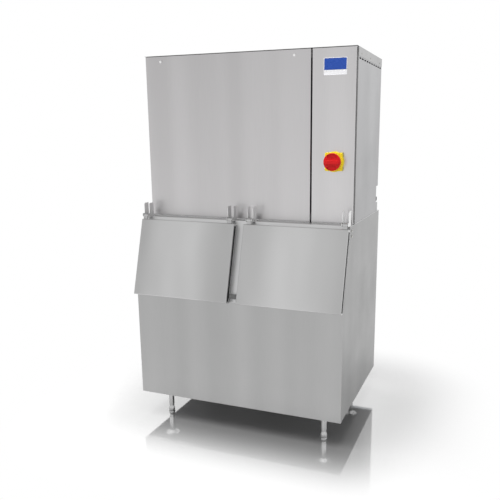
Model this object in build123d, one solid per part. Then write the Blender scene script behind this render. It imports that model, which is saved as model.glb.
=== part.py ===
"""Cube ice machine: an ice-making head on a two-door storage bin.

Millimetres. X is to the right, Y to the back, Z up. The origin is on the floor, at the centre
of the machine's outline.
"""
from build123d import *
import math
import os

# Overall sizes
WIDTH = 1219.0
BIN_HEIGHT = 1038.0
HEAD_HEIGHT = 892.0
HEAD_DEPTH = 622.0
LEG_HEIGHT = 152.0
BIN_FRONT = -410.0
HEAD_FRONT = -220.0
HEAD_BACK = HEAD_FRONT + HEAD_DEPTH
BIN_TOP = LEG_HEIGHT + BIN_HEIGHT
HEAD_TOP = BIN_TOP + HEAD_HEIGHT
HALF = WIDTH / 2
SHEET = 1.5
FAR = 2 * WIDTH
ANY = (-FAR, FAR)

# The bin's sloping door face
SLOPE_DROP = 430.0
SLOPE_TOP_Y = HEAD_FRONT - 62.0
SLOPE_FOOT = BIN_TOP - SLOPE_DROP
SLOPE_RUN = SLOPE_TOP_Y - BIN_FRONT
SLOPE_ANGLE = math.atan2(SLOPE_RUN, SLOPE_DROP)
SLOPE = Plane(
    origin=(0, SLOPE_TOP_Y, BIN_TOP),
    x_dir=(1, 0, 0),
    z_dir=(0, -math.cos(SLOPE_ANGLE), math.sin(SLOPE_ANGLE)),
)

# Bin walls, openings and doors. Heights on the slope are measured down from its top edge.
WALL = 50.0
LINER = 3.0
LINER_CORNER = 20.0
FLANGE = 25.0
OPENING_X = (50.0, 535.0)
OPENING_U = (55.0, 425.0)
OPENING_CORNER = 18.0
DOOR_X = (27.5, HALF)
DOOR_U = (22.0, 456.0)
DOOR_BACK = 6.0
DOOR_FACE = 41.0
DOOR_EDGE = 4.0
PLUG_DEPTH = 10.0
PLUG_GAP = 7.0
GASKET_WIDTH = 14.0
GASKET_GAP = 0.5

# The bin reaches as far back as the doors' lower edges reach forward
LIP_DOWN = DOOR_U[1] - DOOR_EDGE
LIP_OUT = DOOR_FACE - DOOR_EDGE
LIP_REACH = LIP_DOWN * math.sin(SLOPE_ANGLE) + LIP_OUT * math.cos(SLOPE_ANGLE) + DOOR_EDGE
BIN_BACK = LIP_REACH - SLOPE_TOP_Y

# Door hinges
PIN_Y = HEAD_FRONT - 95.0
PIN_Z = BIN_TOP + 12.0
PIN_R = 4.0
RUN_FIT = 0.05
BARREL_R = 9.0
HINGE_X = (58.0, 588.0)
EAR_GAP = 30.0
EAR_SHEET = 2.5
EAR_TOP = BIN_TOP + 80.0
EAR_STOP_Y = PIN_Y + 11.0
BRACKET_BACK = HEAD_FRONT - 42.0
WEB_TOP = BIN_TOP + 14.0

# Drop opening through which the ice falls from the head into the bin
DROP_X = (-545.0, 340.0)
DROP_Y = (-175.0, 52.0)

# Legs
LEG_X = HALF - 125.0
LEG_Y = (BIN_FRONT + 114.0, BIN_BACK - 114.0)
LEG_R = 16.0
LEG_BOTTOM = 42.0
STEM_R = 7.9
STEM_BORE_R = 8.0

# Head panels
PANEL_DEPTH = 25.0
PANEL_INSET = 5.0
PANEL_FOOT = BIN_TOP + 3.0
PANEL_HEAD = HEAD_TOP - 3.0
SCREW_X = (-505.0, 281.0)
SCREW_Z = HEAD_TOP - 33.0
SCREW_R = 3.0
SEAM_X = (369.0, 377.0)
PANEL_CORNER = 3.0
COVER_FLANGE = 45.0
FRAME_FRONT = HEAD_FRONT + 28.0
TILT_Y = HEAD_FRONT + 20.0
TILT_Z = BIN_TOP + 20.0
TILT_PIN_R = 4.0
PAN_HEIGHT = 50.0
PAN_SHEET = 2.0
PAN_FLOOR = BIN_TOP + PAN_SHEET
PAN_X = HALF - 2 * SHEET

# Power entry pocket in the head's back right corner, with its gland
POCKET_WIDTH = 30.0
POCKET_DEPTH = 44.0
POCKET_Z = (BIN_TOP + 55.0, BIN_TOP + 155.0)
POCKET_WALL_X = HALF - 2 * SHEET - POCKET_WIDTH
GLAND_Y = HEAD_BACK - POCKET_DEPTH / 2
GLAND_Z = POCKET_Z[0] + 21.0
GLAND_R = 14.0
GLAND_DOME_R = 15.0
GLAND_HEX_R = 18.0
GLAND_BORE_R = 9.0

# Pipe unions on the back
FITTING_R = 9.0
UNION_R = 13.3

# Badge and isolator
BADGE_X = 498.0
BADGE_Z = BIN_TOP + 797.0
BADGE_SIZE = (121.0, 84.0)
ISOLATOR_X = 500.0
ISOLATOR_Z = BIN_TOP + 324.0
ESCUTCHEON = 94.0
ESCUTCHEON_BASE_R = 52.0
KNOB_R = 45.0
KNOB_NECK_R = 27.0
SHAFT_R = 6.0
SHAFT_OUT = 40.0

# Ice-making compartment
BULKHEAD_Y = 140.0
BULKHEAD_X = 367.0
EVAPORATOR_X = (-390.0, 40.0)
EVAPORATOR_HALF = 200.0
EVAPORATOR_Y = (80.0, 106.0)
EVAPORATOR_Z = (BIN_TOP + 145.0, BIN_TOP + 565.0)
CELLS = 12
CELL_WALL = 3.0
CELL_FLOOR = 3.0
CELL_SLOPE = math.radians(15)
COIL_R = 6.0
COIL_X = 140.0
COIL_PITCH = 100.0
COIL_PASSES = 4
COIL_FIRST = BIN_TOP + 205.0
STUB_END = 165.0
TROUGH_X = (-595.0, 355.0)
TROUGH_Y = (64.0, BULKHEAD_Y)
TROUGH_TOP = BIN_TOP + 100.0
TROUGH_WALL = 3.0
CURTAIN_Y = 68.0
CURTAIN_Z = BIN_TOP + 600.0
CURTAIN_HALF = 196.0
CURTAIN_PIN_R = 3.0
TUBE_Y = 96.0
TUBE_R = 10.0
PUMP_X = 300.0
HOSE_X = 344.0
HOSE_R = 7.0
SUPPLY_X = -548.0
SUPPLY_Z = BIN_TOP + 80.0
SUPPLY_R = 5.0
FLOAT_PIVOT = (-524.0, BIN_TOP + 80.0)
FLOAT_PIN_R = 2.5
DUMP_X = 250.0
DUMP_Z = BIN_TOP + 20.0
SPIGOT_R = 9.0

# Machine compartment
COMPRESSOR_XY = (487.0, 235.0)
CONDENSER_X = (-420.0, 280.0)
CONDENSER_Y = 300.0
CONDENSER_Z = BIN_TOP + 90.0
CONDENSER_R = 62.0
GAS_IN_X = 250.0
LIQUID_OUT_X = -320.0
CONDENSER_TOP_Z = BIN_TOP + 175.0
WATER_Z = (CONDENSER_Z - 30.0, CONDENSER_Z + 30.0)
WATER_X = CONDENSER_X[0] - 15.0
FITTINGS = [(WATER_X, WATER_Z[0]), (WATER_X, WATER_Z[1]), (SUPPLY_X, SUPPLY_Z)]
DRIER_LENGTH = 140.0
STUB_TOP = BIN_TOP + 350.0
STUB_SIDE = 40.0
LINE_Y = 185.0
LINE_Z = BIN_TOP + 150.0
HOT_GAS_Y = 235.0
HOT_GAS_Z = BIN_TOP + 400.0
HARVEST_X = (130.0, 172.0)

# Control box
BOX_X = (385.0, 600.0)
BOX_Y = (FRAME_FRONT + 12.0, FRAME_FRONT + 122.0)
BOX_Z = (BIN_TOP + 405.0, BIN_TOP + 800.0)
TOGGLE_X = 430.0
TOGGLE_Z = BOX_Z[0] + 40.0
TOGGLE_Y = BOX_Y[0] + 20.0
TOGGLE_PIN_R = 1.5


def block(x_span, y_span, z_span):
    """A rectangular solid between the given limits."""
    spans = (x_span, y_span, z_span)
    size = [high - low for low, high in spans]
    corner = [low for low, high in spans]
    return Pos(*corner) * Box(*size, align=(Align.MIN, Align.MIN, Align.MIN))


def soft_block(x_span, y_span, z_span, axis, radius):
    """A rectangular solid with the edges along one axis rounded."""
    body = block(x_span, y_span, z_span)
    return fillet(body.edges().filter_by(axis), radius)


def rod(start, end, radius):
    """A round bar from one point to another."""
    first = Vector(*start)
    run = Vector(*end) - first
    return extrude(Plane(origin=first, z_dir=run) * Circle(radius), amount=run.length)


def pipe(points, radius, bend):
    """A round tube along straight runs joined by arcs."""
    path = FilletPolyline(*points, radius=bend)
    section = Plane(origin=path @ 0, z_dir=path % 0) * Circle(radius)
    return sweep(section, path=path)


def prism(points, x_span):
    """A solid with an outline given as (y, z) corners, between two X limits."""
    outline = Plane.YZ * make_face(Polyline(*points, close=True))
    return Pos(x_span[0], 0, 0) * extrude(outline, amount=x_span[1] - x_span[0])


def column(points, z_span):
    """A solid with an outline given as (x, y) corners, between two heights."""
    outline = make_face(Polyline(*points, close=True))
    return Pos(0, 0, z_span[0]) * extrude(outline, amount=z_span[1] - z_span[0])


def strip(points, thickness):
    """Corners of a bent strip: the given outer line and the same line set to its left."""
    inner = []
    for k, point in enumerate(points):
        runs = []
        if k > 0:
            runs.append((points[k - 1], point))
        if k < len(points) - 1:
            runs.append((point, points[k + 1]))
        normals = []
        for a, b in runs:
            length = math.dist(a, b)
            normals.append(((a[1] - b[1]) / length, (b[0] - a[0]) / length))
        total = [sum(n[i] for n in normals) for i in (0, 1)]
        scale = thickness * len(normals) / (total[0] ** 2 + total[1] ** 2)
        inner.append((point[0] + total[0] * scale, point[1] + total[1] * scale))
    return list(points) + inner[::-1]


def tray(body, opening, thickness):
    """A thin-walled box: the body hollowed out through one of its flat faces."""
    return offset(body, amount=-thickness, openings=opening)


def turned(profile, centre):
    """A turned solid from (radius, z) corners, about a vertical line through centre."""
    outline = Plane.XZ * make_face(Polyline(*profile, close=True))
    return Pos(centre[0], centre[1], 0) * revolve(outline, axis=Axis.Z)


def mirrored(shape):
    """The shape seen in the machine's middle plane."""
    return mirror(shape, about=Plane.YZ)


def bin_outline(gap, floor):
    """The bin's side outline, set in by gap all round and standing on floor."""
    top = BIN_TOP - gap
    lean = math.tan(SLOPE_ANGLE)
    reach = gap / math.cos(SLOPE_ANGLE)
    bend = SLOPE_FOOT - (reach - gap) / lean
    crown = BIN_FRONT + (top - SLOPE_FOOT) * lean + reach
    return [
        (BIN_BACK - gap, floor),
        (BIN_FRONT + gap, floor),
        (BIN_FRONT + gap, bend),
        (crown, top),
        (BIN_BACK - gap, top),
    ]


def core_outline():
    """The outline between the outer sheets, which stands on the outer floor."""
    return bin_outline(SHEET, LEG_HEIGHT + 2 * SHEET)


def on_slope(x_span, u_span, n_span, radius):
    """A block on the door slope, with its corners rounded: u runs down and n outwards."""
    body = block(x_span, (-u_span[1], -u_span[0]), n_span)
    if radius > 0:
        body = fillet(body.edges().filter_by(Axis.Z), radius)
    return SLOPE * body


def door_tunnel(side, grow, n_span):
    """The hole of one door opening, grown by a wall thickness on every side."""
    low, high = sorted(side * x for x in OPENING_X)
    u_span = (OPENING_U[0] - grow, OPENING_U[1] + grow)
    return on_slope((low - grow, high + grow), u_span, n_span, OPENING_CORNER + grow)


def drop_tunnel(grow, z_span, corner=OPENING_CORNER):
    """The hole through which the ice drops, grown by a wall thickness on every side."""
    x_span = (DROP_X[0] - grow, DROP_X[1] + grow)
    y_span = (DROP_Y[0] - grow, DROP_Y[1] + grow)
    return soft_block(x_span, y_span, z_span, Axis.Z, corner + grow)


def side_of_bin():
    """The right side panel, a tray with its flanges turned into the wall."""
    body = prism(core_outline(), (HALF - FLANGE, HALF))
    return tray(body, body.faces().sort_by(Axis.X)[0], SHEET)


def bin_front():
    """The lower front, folded under the floor at its foot."""
    fold = [(BIN_FRONT + 30, LEG_HEIGHT), (BIN_FRONT, LEG_HEIGHT), (BIN_FRONT, SLOPE_FOOT)]
    return prism(strip(fold[::-1], SHEET), (-HALF, HALF))


def bin_back():
    """The back, folded under the floor at its foot."""
    top = BIN_TOP - SHEET
    fold = [(BIN_BACK, top), (BIN_BACK, LEG_HEIGHT), (BIN_BACK - 30, LEG_HEIGHT)]
    return prism(strip(fold[::-1], SHEET), (-HALF, HALF))


def bin_floor():
    """The flat outer floor, with its drain hole."""
    y_span = (BIN_FRONT + SHEET, BIN_BACK - SHEET)
    low = LEG_HEIGHT + SHEET
    return block((-HALF, HALF), y_span, (low, low + SHEET)) - drain_pipe(solid=True)


def bin_hood():
    """The door frame and the deck, one sheet bent over the bin's top front edge."""
    outer = [(BIN_FRONT, SLOPE_FOOT), (SLOPE_TOP_Y, BIN_TOP), (BIN_BACK, BIN_TOP)]
    crown = core_outline()[3]
    foot = BIN_FRONT + SHEET / math.cos(SLOPE_ANGLE)
    inner = [(BIN_BACK, BIN_TOP - SHEET), crown, (foot, SLOPE_FOOT)]
    hood = prism(outer + inner, (-HALF, HALF))
    through = (-WALL, 5.0)
    for side in (-1, 1):
        reveal = door_tunnel(side, SHEET, (-WALL, 0.0))
        hood = hood + reveal - door_tunnel(side, 0.0, through)
    hood = hood + drop_tunnel(SHEET, (BIN_TOP - WALL, BIN_TOP))
    return hood - drop_tunnel(0.0, (BIN_TOP - WALL, BIN_TOP + 5.0))


def liner_block(gap, corner):
    """The liner's inside or outside as a rounded solid."""
    body = prism(bin_outline(gap, LEG_HEIGHT + gap), (-HALF + gap, HALF - gap))
    return fillet(body.edges(), corner)


def wall_tunnels():
    """Everything that passes through the bin's insulated walls."""
    cut = [door_tunnel(side, SHEET, (-WALL - 30.0, 5.0)) for side in (-1, 1)]
    cut.append(drop_tunnel(SHEET, (BIN_TOP - WALL - 30.0, BIN_TOP)))
    cut.append(drain_pipe(solid=True))
    return cut


def bin_liner():
    """The moulded liner, with its corners rounded for cleaning."""
    outside = liner_block(WALL - LINER, LINER_CORNER + LINER)
    shell = outside - liner_block(WALL, LINER_CORNER)
    for hole in wall_tunnels():
        shell = shell - hole
    return shell


def left_round_holes(board, plane, holes, y_span):
    """The straight pieces of a board that are left round a row of openings."""
    pieces, edge = [], -FAR
    for low, high in holes:
        pieces.append(board & plane * block((edge, low), ANY, ANY))
        for span in ((-FAR, y_span[0]), (y_span[1], FAR)):
            pieces.append(board & plane * block((low, high), span, ANY))
        edge = high
    pieces.append(board & plane * block((edge, FAR), ANY, ANY))
    return pieces


def insulation_boards():
    """The foam boards between the liner and the panels, mitred where the walls bend."""
    depth = WALL - LINER
    outer = core_outline()
    inner = bin_outline(depth, LEG_HEIGHT + depth)
    reach = HALF - depth
    ring = []
    for k in range(len(outer)):
        after = (k + 1) % len(outer)
        ring.append(prism([outer[k], outer[after], inner[after], inner[k]], (-reach, reach)))
    floor, front, slope, deck, back = ring
    side = prism(bin_outline(2 * SHEET, LEG_HEIGHT + 3 * SHEET), (reach, HALF - SHEET))
    boards = [side, mirrored(side), floor - drain_pipe(solid=True), front, back]
    near, far = OPENING_X[0] - SHEET, OPENING_X[1] + SHEET
    y_span = (-OPENING_U[1] - SHEET, -OPENING_U[0] + SHEET)
    boards += left_round_holes(slope, SLOPE, [(-far, -near), (near, far)], y_span)
    x_span = (DROP_X[0] - SHEET, DROP_X[1] + SHEET)
    y_span = (DROP_Y[0] - SHEET, DROP_Y[1] + SHEET)
    boards += left_round_holes(deck, Plane.XY, [x_span], y_span)
    return boards


def drain_pipe(solid=False):
    """The bin's drain: a pipe from the liner's floor down through the outer floor."""
    centre = (0.0, BIN_BACK - 95.0)
    outer, bore = 16.7, 12.0
    top = LEG_HEIGHT + WALL
    body = rod((*centre, top - 85.0), (*centre, top), outer)
    if solid:
        return body
    collar = rod((*centre, LEG_HEIGHT - 7.0), (*centre, LEG_HEIGHT + SHEET), outer + 9.0)
    return body + collar - rod((*centre, top - 90.0), (*centre, top + 5.0), bore)


def hinge_bracket(x):
    """A folded bracket: two ears joined by a foot and a low web, with the pin between them."""
    half = EAR_GAP / 2 + EAR_SHEET
    outline = [
        (BRACKET_BACK, BIN_TOP),
        (BRACKET_BACK, EAR_TOP),
        (EAR_STOP_Y + 8.0, EAR_TOP),
        (EAR_STOP_Y, EAR_TOP - 8.0),
        (EAR_STOP_Y, PIN_Z + 10.0),
        (PIN_Y, PIN_Z + 10.0),
        (PIN_Y, BIN_TOP + 2.0),
        (SLOPE_TOP_Y - 4.0, BIN_TOP),
    ]
    body = prism(outline, (x - half, x + half))
    nose = rod((x - half, PIN_Y, PIN_Z), (x + half, PIN_Y, PIN_Z), BARREL_R + 1.0)
    gap = (x - EAR_GAP / 2, x + EAR_GAP / 2)
    low = block(gap, (-HALF, BRACKET_BACK - EAR_SHEET), (BIN_TOP + 2.0, WEB_TOP))
    high = block(gap, (-HALF, HEAD_FRONT), (WEB_TOP, EAR_TOP + 5.0))
    nook = block(gap, (-HALF, SLOPE_TOP_Y - 16.0), (BIN_TOP - 20.0, BIN_TOP + 2.0))
    return body + nose - low - high - nook - hinge_pin(x)


def hinge_pin(x):
    """One hinge pin, from the outside of one ear to the outside of the other."""
    half = EAR_GAP / 2 + EAR_SHEET
    return rod((x - half, PIN_Y, PIN_Z), (x + half, PIN_Y, PIN_Z), PIN_R)


def door_leaf(x):
    """The hinge barrel and its stem, which stands on the door's top edge."""
    half = EAR_GAP / 2 - 3.0
    barrel = rod((x - half, PIN_Y, PIN_Z), (x + half, PIN_Y, PIN_Z), BARREL_R)
    pin = SLOPE.to_local_coords(Vector(0, PIN_Y, PIN_Z))
    stem = on_slope((x - half, x + half), (-pin.Y, DOOR_U[0]), (pin.Z - 5.0, pin.Z + 5.0), 0)
    bore = rod((x - 40, PIN_Y, PIN_Z), (x + 40, PIN_Y, PIN_Z), PIN_R + RUN_FIT)
    return barrel + stem - bore


def door_skin(side):
    """The door's outer sheet, a tray open to the bin, with its two hinge leaves."""
    low, high = sorted(side * x for x in DOOR_X)
    body = block((low, high), (-DOOR_U[1], -DOOR_U[0]), (DOOR_BACK, DOOR_FACE))
    front = body.faces().sort_by(Axis.Z)[-1]
    body = fillet(front.edges(), DOOR_EDGE)
    skin = SLOPE * tray(body, body.faces().sort_by(Axis.Z)[0], SHEET)
    for x in HINGE_X:
        skin = skin + door_leaf(side * x)
    return skin


def door_liner(side, skin):
    """The door's moulded inner half: it fills the skin and has a plug that enters the opening."""
    low, high = sorted(side * x for x in DOOR_X)
    edge = SHEET
    core = on_slope(
        (low + edge, high - edge),
        (DOOR_U[0] + edge, DOOR_U[1] - edge),
        (DOOR_BACK, DOOR_FACE - SHEET),
        0,
    )
    low, high = sorted(side * x for x in OPENING_X)
    plug = block(
        (low + PLUG_GAP, high - PLUG_GAP),
        (-OPENING_U[1] + PLUG_GAP, -OPENING_U[0] - PLUG_GAP),
        (-PLUG_DEPTH, DOOR_BACK),
    )
    plug = fillet(plug.edges().filter_by(Axis.Z), OPENING_CORNER - PLUG_GAP)
    plug = chamfer(plug.faces().sort_by(Axis.Z)[0].edges(), 5.0)
    return core - skin + SLOPE * plug


def door_gasket(side):
    """The soft seal round the plug, which rests against the frame."""
    low, high = sorted(side * x for x in OPENING_X)
    n_span = (GASKET_GAP, DOOR_BACK)
    rim = on_slope(
        (low - GASKET_WIDTH, high + GASKET_WIDTH),
        (OPENING_U[0] - GASKET_WIDTH, OPENING_U[1] + GASKET_WIDTH),
        n_span,
        OPENING_CORNER,
    )
    inner = on_slope(
        (low + PLUG_GAP, high - PLUG_GAP),
        (OPENING_U[0] + PLUG_GAP, OPENING_U[1] - PLUG_GAP),
        n_span,
        OPENING_CORNER - PLUG_GAP,
    )
    return rim - inner


def centre_bumper():
    """The rubber block on the post between the doors, at the foot of the gap."""
    return on_slope((-22.0, 22.0), (404.0, 430.0), (0.0, 22.0), 3.0)


def legs():
    """Four tubular legs, each with a flange under the bin's floor."""
    top = LEG_HEIGHT + SHEET
    profile = [
        (STEM_BORE_R, LEG_BOTTOM),
        (LEG_R, LEG_BOTTOM),
        (LEG_R, top - 22.0),
        (LEG_R + 8.0, top - 5.0),
        (42.0, top - 5.0),
        (42.0, top),
        (STEM_BORE_R, top),
    ]
    return [turned(profile, (x, y)) for x in (-LEG_X, LEG_X) for y in LEG_Y]


def foot(centre):
    """One levelling foot: a bullet-shaped shoe with a threaded stem."""
    profile = [
        (0.0, 0.0),
        (15.0, 0.0),
        (18.5, 4.0),
        (18.5, 14.0),
        (14.0, 30.0),
        (14.0, LEG_BOTTOM - 0.4),
        (STEM_R, LEG_BOTTOM - 0.4),
        (STEM_R, LEG_HEIGHT - 12.0),
        (0.0, LEG_HEIGHT - 12.0),
    ]
    return turned(profile, centre)


def pocket_space():
    """The power entry pocket, with room past the corner."""
    side = (POCKET_WALL_X, HALF + 5.0)
    return block(side, (HEAD_BACK - POCKET_DEPTH, HEAD_BACK + 5.0), POCKET_Z)


def side_of_head():
    """The right side panel, with turned-in edges and a row of vent slots under the cover."""
    x = HALF - SHEET
    back = HEAD_BACK - SHEET
    fold = [(x - 22, FRAME_FRONT), (x, FRAME_FRONT), (x, back), (x - 22, back)]
    panel = column(strip(fold, SHEET), (BIN_TOP, HEAD_TOP - SHEET))
    slot_z = HEAD_TOP - COVER_FLANGE - 9.0
    for k in range(10):
        y = FRAME_FRONT + 40.0 + 57.0 * k
        face = Plane(origin=(x, y, slot_z), x_dir=(0, 1, 0), z_dir=(1, 0, 0))
        panel = panel - extrude(face * SlotOverall(38.0, 8.0), amount=10.0, both=True)
    return panel


def head_cover(sides):
    """The top cover: a shallow tray over the head, with a lip that oversails the front."""
    y_span = (FRAME_FRONT + SHEET, HEAD_BACK)
    body = block((-HALF, HALF), y_span, (HEAD_TOP - COVER_FLANGE, HEAD_TOP))
    cover = tray(body, body.faces().sort_by(Axis.Z)[0], SHEET)
    brow = block((-HALF, HALF), (HEAD_FRONT, y_span[0]), (HEAD_TOP - SHEET, HEAD_TOP))
    cover = cover + brow
    for side in sides:
        cover = cover - side
    return cover


def head_back():
    """The back panel, folded in round the power entry pocket."""
    y_span = (HEAD_BACK - SHEET, HEAD_BACK)
    edge = HALF - SHEET
    panel = block((-edge, edge), y_span, (BIN_TOP, HEAD_TOP - COVER_FLANGE))
    niche = block(
        (POCKET_WALL_X - 2 * SHEET, PAN_X),
        (HEAD_BACK - POCKET_DEPTH - SHEET, HEAD_BACK - SHEET),
        (POCKET_Z[0] - SHEET, POCKET_Z[1] + SHEET),
    )
    panel = panel + niche - pocket_space()
    for x, z in FITTINGS:
        panel = panel - rod((x, HEAD_BACK - 10, z), (x, HEAD_BACK + 5, z), FITTING_R)
    start = (POCKET_WALL_X - 10.0, GLAND_Y, GLAND_Z)
    return panel - rod(start, (HALF, GLAND_Y, GLAND_Z), GLAND_R)


def base_pan():
    """The head's floor: a tray with the ice drop opening and the front panel's tilt pins."""
    y_span = (FRAME_FRONT + SHEET, HEAD_BACK - 2 * SHEET)
    body = block((-PAN_X, PAN_X), y_span, (BIN_TOP, BIN_TOP + PAN_HEIGHT))
    pan = tray(body, body.faces().sort_by(Axis.Z)[-1], PAN_SHEET)
    pan = pan - drop_tunnel(0.0, (BIN_TOP - 5.0, BIN_TOP + 5.0), corner=PAN_SHEET)
    outer = (-HALF + PANEL_INSET, SEAM_X[0])
    ear_x = (outer[0] + 21.0, outer[1] - 4.0)
    pin_x = (outer[0] - 2.0, outer[1] + 2.0)
    for ear, pin in zip(ear_x, pin_x):
        plate = block((ear, ear + 2.0), (TILT_Y - 8.0, y_span[0]), (TILT_Z - 4.5, TILT_Z + 8.0))
        pan = pan + plate + rod((ear + 1.0, TILT_Y, TILT_Z), (pin, TILT_Y, TILT_Z), TILT_PIN_R)
    return pan


def front_panel(x_span, depth):
    """One front panel: a tray open to the back, with its front edges rounded."""
    body = block(x_span, (HEAD_FRONT, HEAD_FRONT + depth), (PANEL_FOOT, PANEL_HEAD))
    face = body.faces().sort_by(Axis.Y)[0]
    body = fillet(face.edges(), PANEL_CORNER)
    return tray(body, body.faces().sort_by(Axis.Y)[-1], SHEET)


def wide_panel():
    """The wide left panel, with holes for its tilt pins and its captive screws."""
    x_span = (-HALF + PANEL_INSET, SEAM_X[0])
    panel = front_panel(x_span, PANEL_DEPTH)
    start = (x_span[0] - 5, TILT_Y, TILT_Z)
    end = (x_span[1] + 5, TILT_Y, TILT_Z)
    panel = panel - rod(start, end, TILT_PIN_R + RUN_FIT)
    for x in SCREW_X:
        start = (x, HEAD_FRONT - 5.0, SCREW_Z)
        panel = panel - rod(start, (x, HEAD_FRONT + 5.0, SCREW_Z), SCREW_R + 0.2)
    return panel


def captive_screws():
    """The two slotted screws that stay in the wide panel when they are undone."""
    screws = []
    z, top = SCREW_Z, HEAD_FRONT - 9.0
    for x in SCREW_X:
        head = rod((x, top, z), (x, HEAD_FRONT, z), 7.0)
        head = chamfer(head.edges().sort_by(Axis.Y)[0], 1.2)
        shank = rod((x, HEAD_FRONT, z), (x, HEAD_FRONT + 24.0, z), SCREW_R)
        slot = block((x - 8.0, x + 8.0), (top - 1.0, top + 2.0), (z - 0.8, z + 0.8))
        screws.append(head + shank - slot)
    return screws


def narrow_panel():
    """The narrow right panel, with the isolator's shaft hole."""
    panel = front_panel((SEAM_X[1], HALF - PANEL_INSET), FRAME_FRONT - HEAD_FRONT)
    start = (ISOLATOR_X, HEAD_FRONT - 5, ISOLATOR_Z)
    return panel - rod(start, (ISOLATOR_X, HEAD_FRONT + 5, ISOLATOR_Z), SHAFT_R + 4.0)


def badge_plate():
    """The blank badge: a shallow plate with rounded corners and a raised rim."""
    plane = Plane(origin=(BADGE_X, HEAD_FRONT, BADGE_Z), x_dir=(1, 0, 0), z_dir=(0, -1, 0))
    plate = extrude(plane * RectangleRounded(*BADGE_SIZE, 4.0), amount=2.4)
    width, height = BADGE_SIZE
    field = extrude(plane * RectangleRounded(width - 5.0, height - 5.0, 3.0), amount=1.0)
    return plate - Pos(0, -1.6, 0) * field


def isolator_plane(out):
    """A plane on the isolator's axis, facing out of the panel at a distance from it."""
    origin = (ISOLATOR_X, HEAD_FRONT - out, ISOLATOR_Z)
    return Plane(origin=origin, x_dir=(1, 0, 0), z_dir=(0, -1, 0))


def isolator_plate():
    """The isolator's moulded escutcheon: a round base under a square face."""
    base = extrude(isolator_plane(0) * Circle(ESCUTCHEON_BASE_R), amount=12.0)
    square = RectangleRounded(ESCUTCHEON, ESCUTCHEON, 7.0)
    face = extrude(isolator_plane(8.0) * square, amount=10.0)
    face = chamfer(face.faces().sort_by(Axis.Y)[0].edges(), 2.0)
    hole = extrude(isolator_plane(-5.0) * Circle(SHAFT_R + 2.0), amount=60.0)
    return base + face - hole


def isolator_knob():
    """The knob: a disc on a neck, with a bar grip across it and scallops beside the bar."""
    neck = extrude(isolator_plane(20.0) * Circle(KNOB_NECK_R), amount=22.0)
    disc = extrude(isolator_plane(38.0) * Circle(KNOB_R), amount=15.0)
    disc = fillet(disc.faces().sort_by(Axis.Y)[0].edges(), 4.0)
    grip = extrude(isolator_plane(45.0) * SlotOverall(2 * KNOB_R - 12.0, 22.0), amount=14.0)
    grip = fillet(grip.faces().sort_by(Axis.Y)[0].edges(), 3.0)
    scallop = extrude(isolator_plane(47.0) * Ellipse(27.0, 12.0), amount=10.0)
    for side in (-1, 1):
        disc = disc - Pos(0, 0, side * 30.0) * scallop
    socket = extrude(isolator_plane(18.0) * Circle(SHAFT_R), amount=SHAFT_OUT - 18.0)
    return neck + disc + grip - socket


def isolator_shaft():
    """The shaft from the knob back into the switch."""
    return extrude(isolator_plane(-70.0) * Circle(SHAFT_R), amount=SHAFT_OUT + 70.0)


def isolator_switch():
    """The switch block behind the panel, hung on the panel's inner face."""
    start = HEAD_FRONT + SHEET
    body = soft_block(
        (ISOLATOR_X - 34, ISOLATOR_X + 34),
        (start, start + 72.0),
        (ISOLATOR_Z - 38, ISOLATOR_Z + 38),
        Axis.Y,
        4.0,
    )
    for dx in (-22.0, 22.0):
        for dz in (-36.0, 36.0):
            x, z = ISOLATOR_X + dx, ISOLATOR_Z + dz
            body = body - block((x - 6, x + 6), (start + 56, start + 80), (z - 14, z + 14))
    return body - extrude(isolator_plane(-80.0) * Circle(SHAFT_R + RUN_FIT), amount=90.0)


def bulkhead():
    """The partition round the ice-making side, bent once, with holes for the tubes."""
    fold = [
        (BULKHEAD_X, FRAME_FRONT + 6.0),
        (BULKHEAD_X, BULKHEAD_Y + SHEET),
        (-PAN_X + PAN_SHEET, BULKHEAD_Y + SHEET),
    ]
    wall = column(strip(fold, SHEET), (PAN_FLOOR, HEAD_TOP - SHEET))
    for x, z in coil_ends():
        wall = wall - rod((x, 100, z), (x, 180, z), COIL_R + 1.0)
    wall = wall - rod((DUMP_X, 100, DUMP_Z), (DUMP_X, 180, DUMP_Z), SPIGOT_R)
    return wall - rod((SUPPLY_X, 100, SUPPLY_Z), (SUPPLY_X, 180, SUPPLY_Z), SUPPLY_R)


def coil_ends():
    """Where the ends (x, z) of the evaporators' coils pass through the bulkhead."""
    last = COIL_FIRST + (COIL_PASSES - 1) * COIL_PITCH
    return [(x - COIL_X, z) for x in EVAPORATOR_X for z in (COIL_FIRST, last)]


def coil(x):
    """The serpentine tube on an evaporator's back, with its ends turned to the back."""
    y = EVAPORATOR_Y[1] + COIL_R - 1.0
    last = COIL_FIRST + (COIL_PASSES - 1) * COIL_PITCH
    points = [(x - COIL_X, STUB_END, COIL_FIRST), (x - COIL_X, y, COIL_FIRST)]
    for k in range(COIL_PASSES - 1):
        reach = x + COIL_X + 45.0 if k % 2 == 0 else x - COIL_X + 45.0 - 90.0
        z = COIL_FIRST + k * COIL_PITCH
        points += [(reach, y, z), (reach, y, z + COIL_PITCH)]
    points += [(x - COIL_X, y, last), (x - COIL_X, STUB_END, last)]
    return pipe(points, COIL_R, 16.0)


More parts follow.
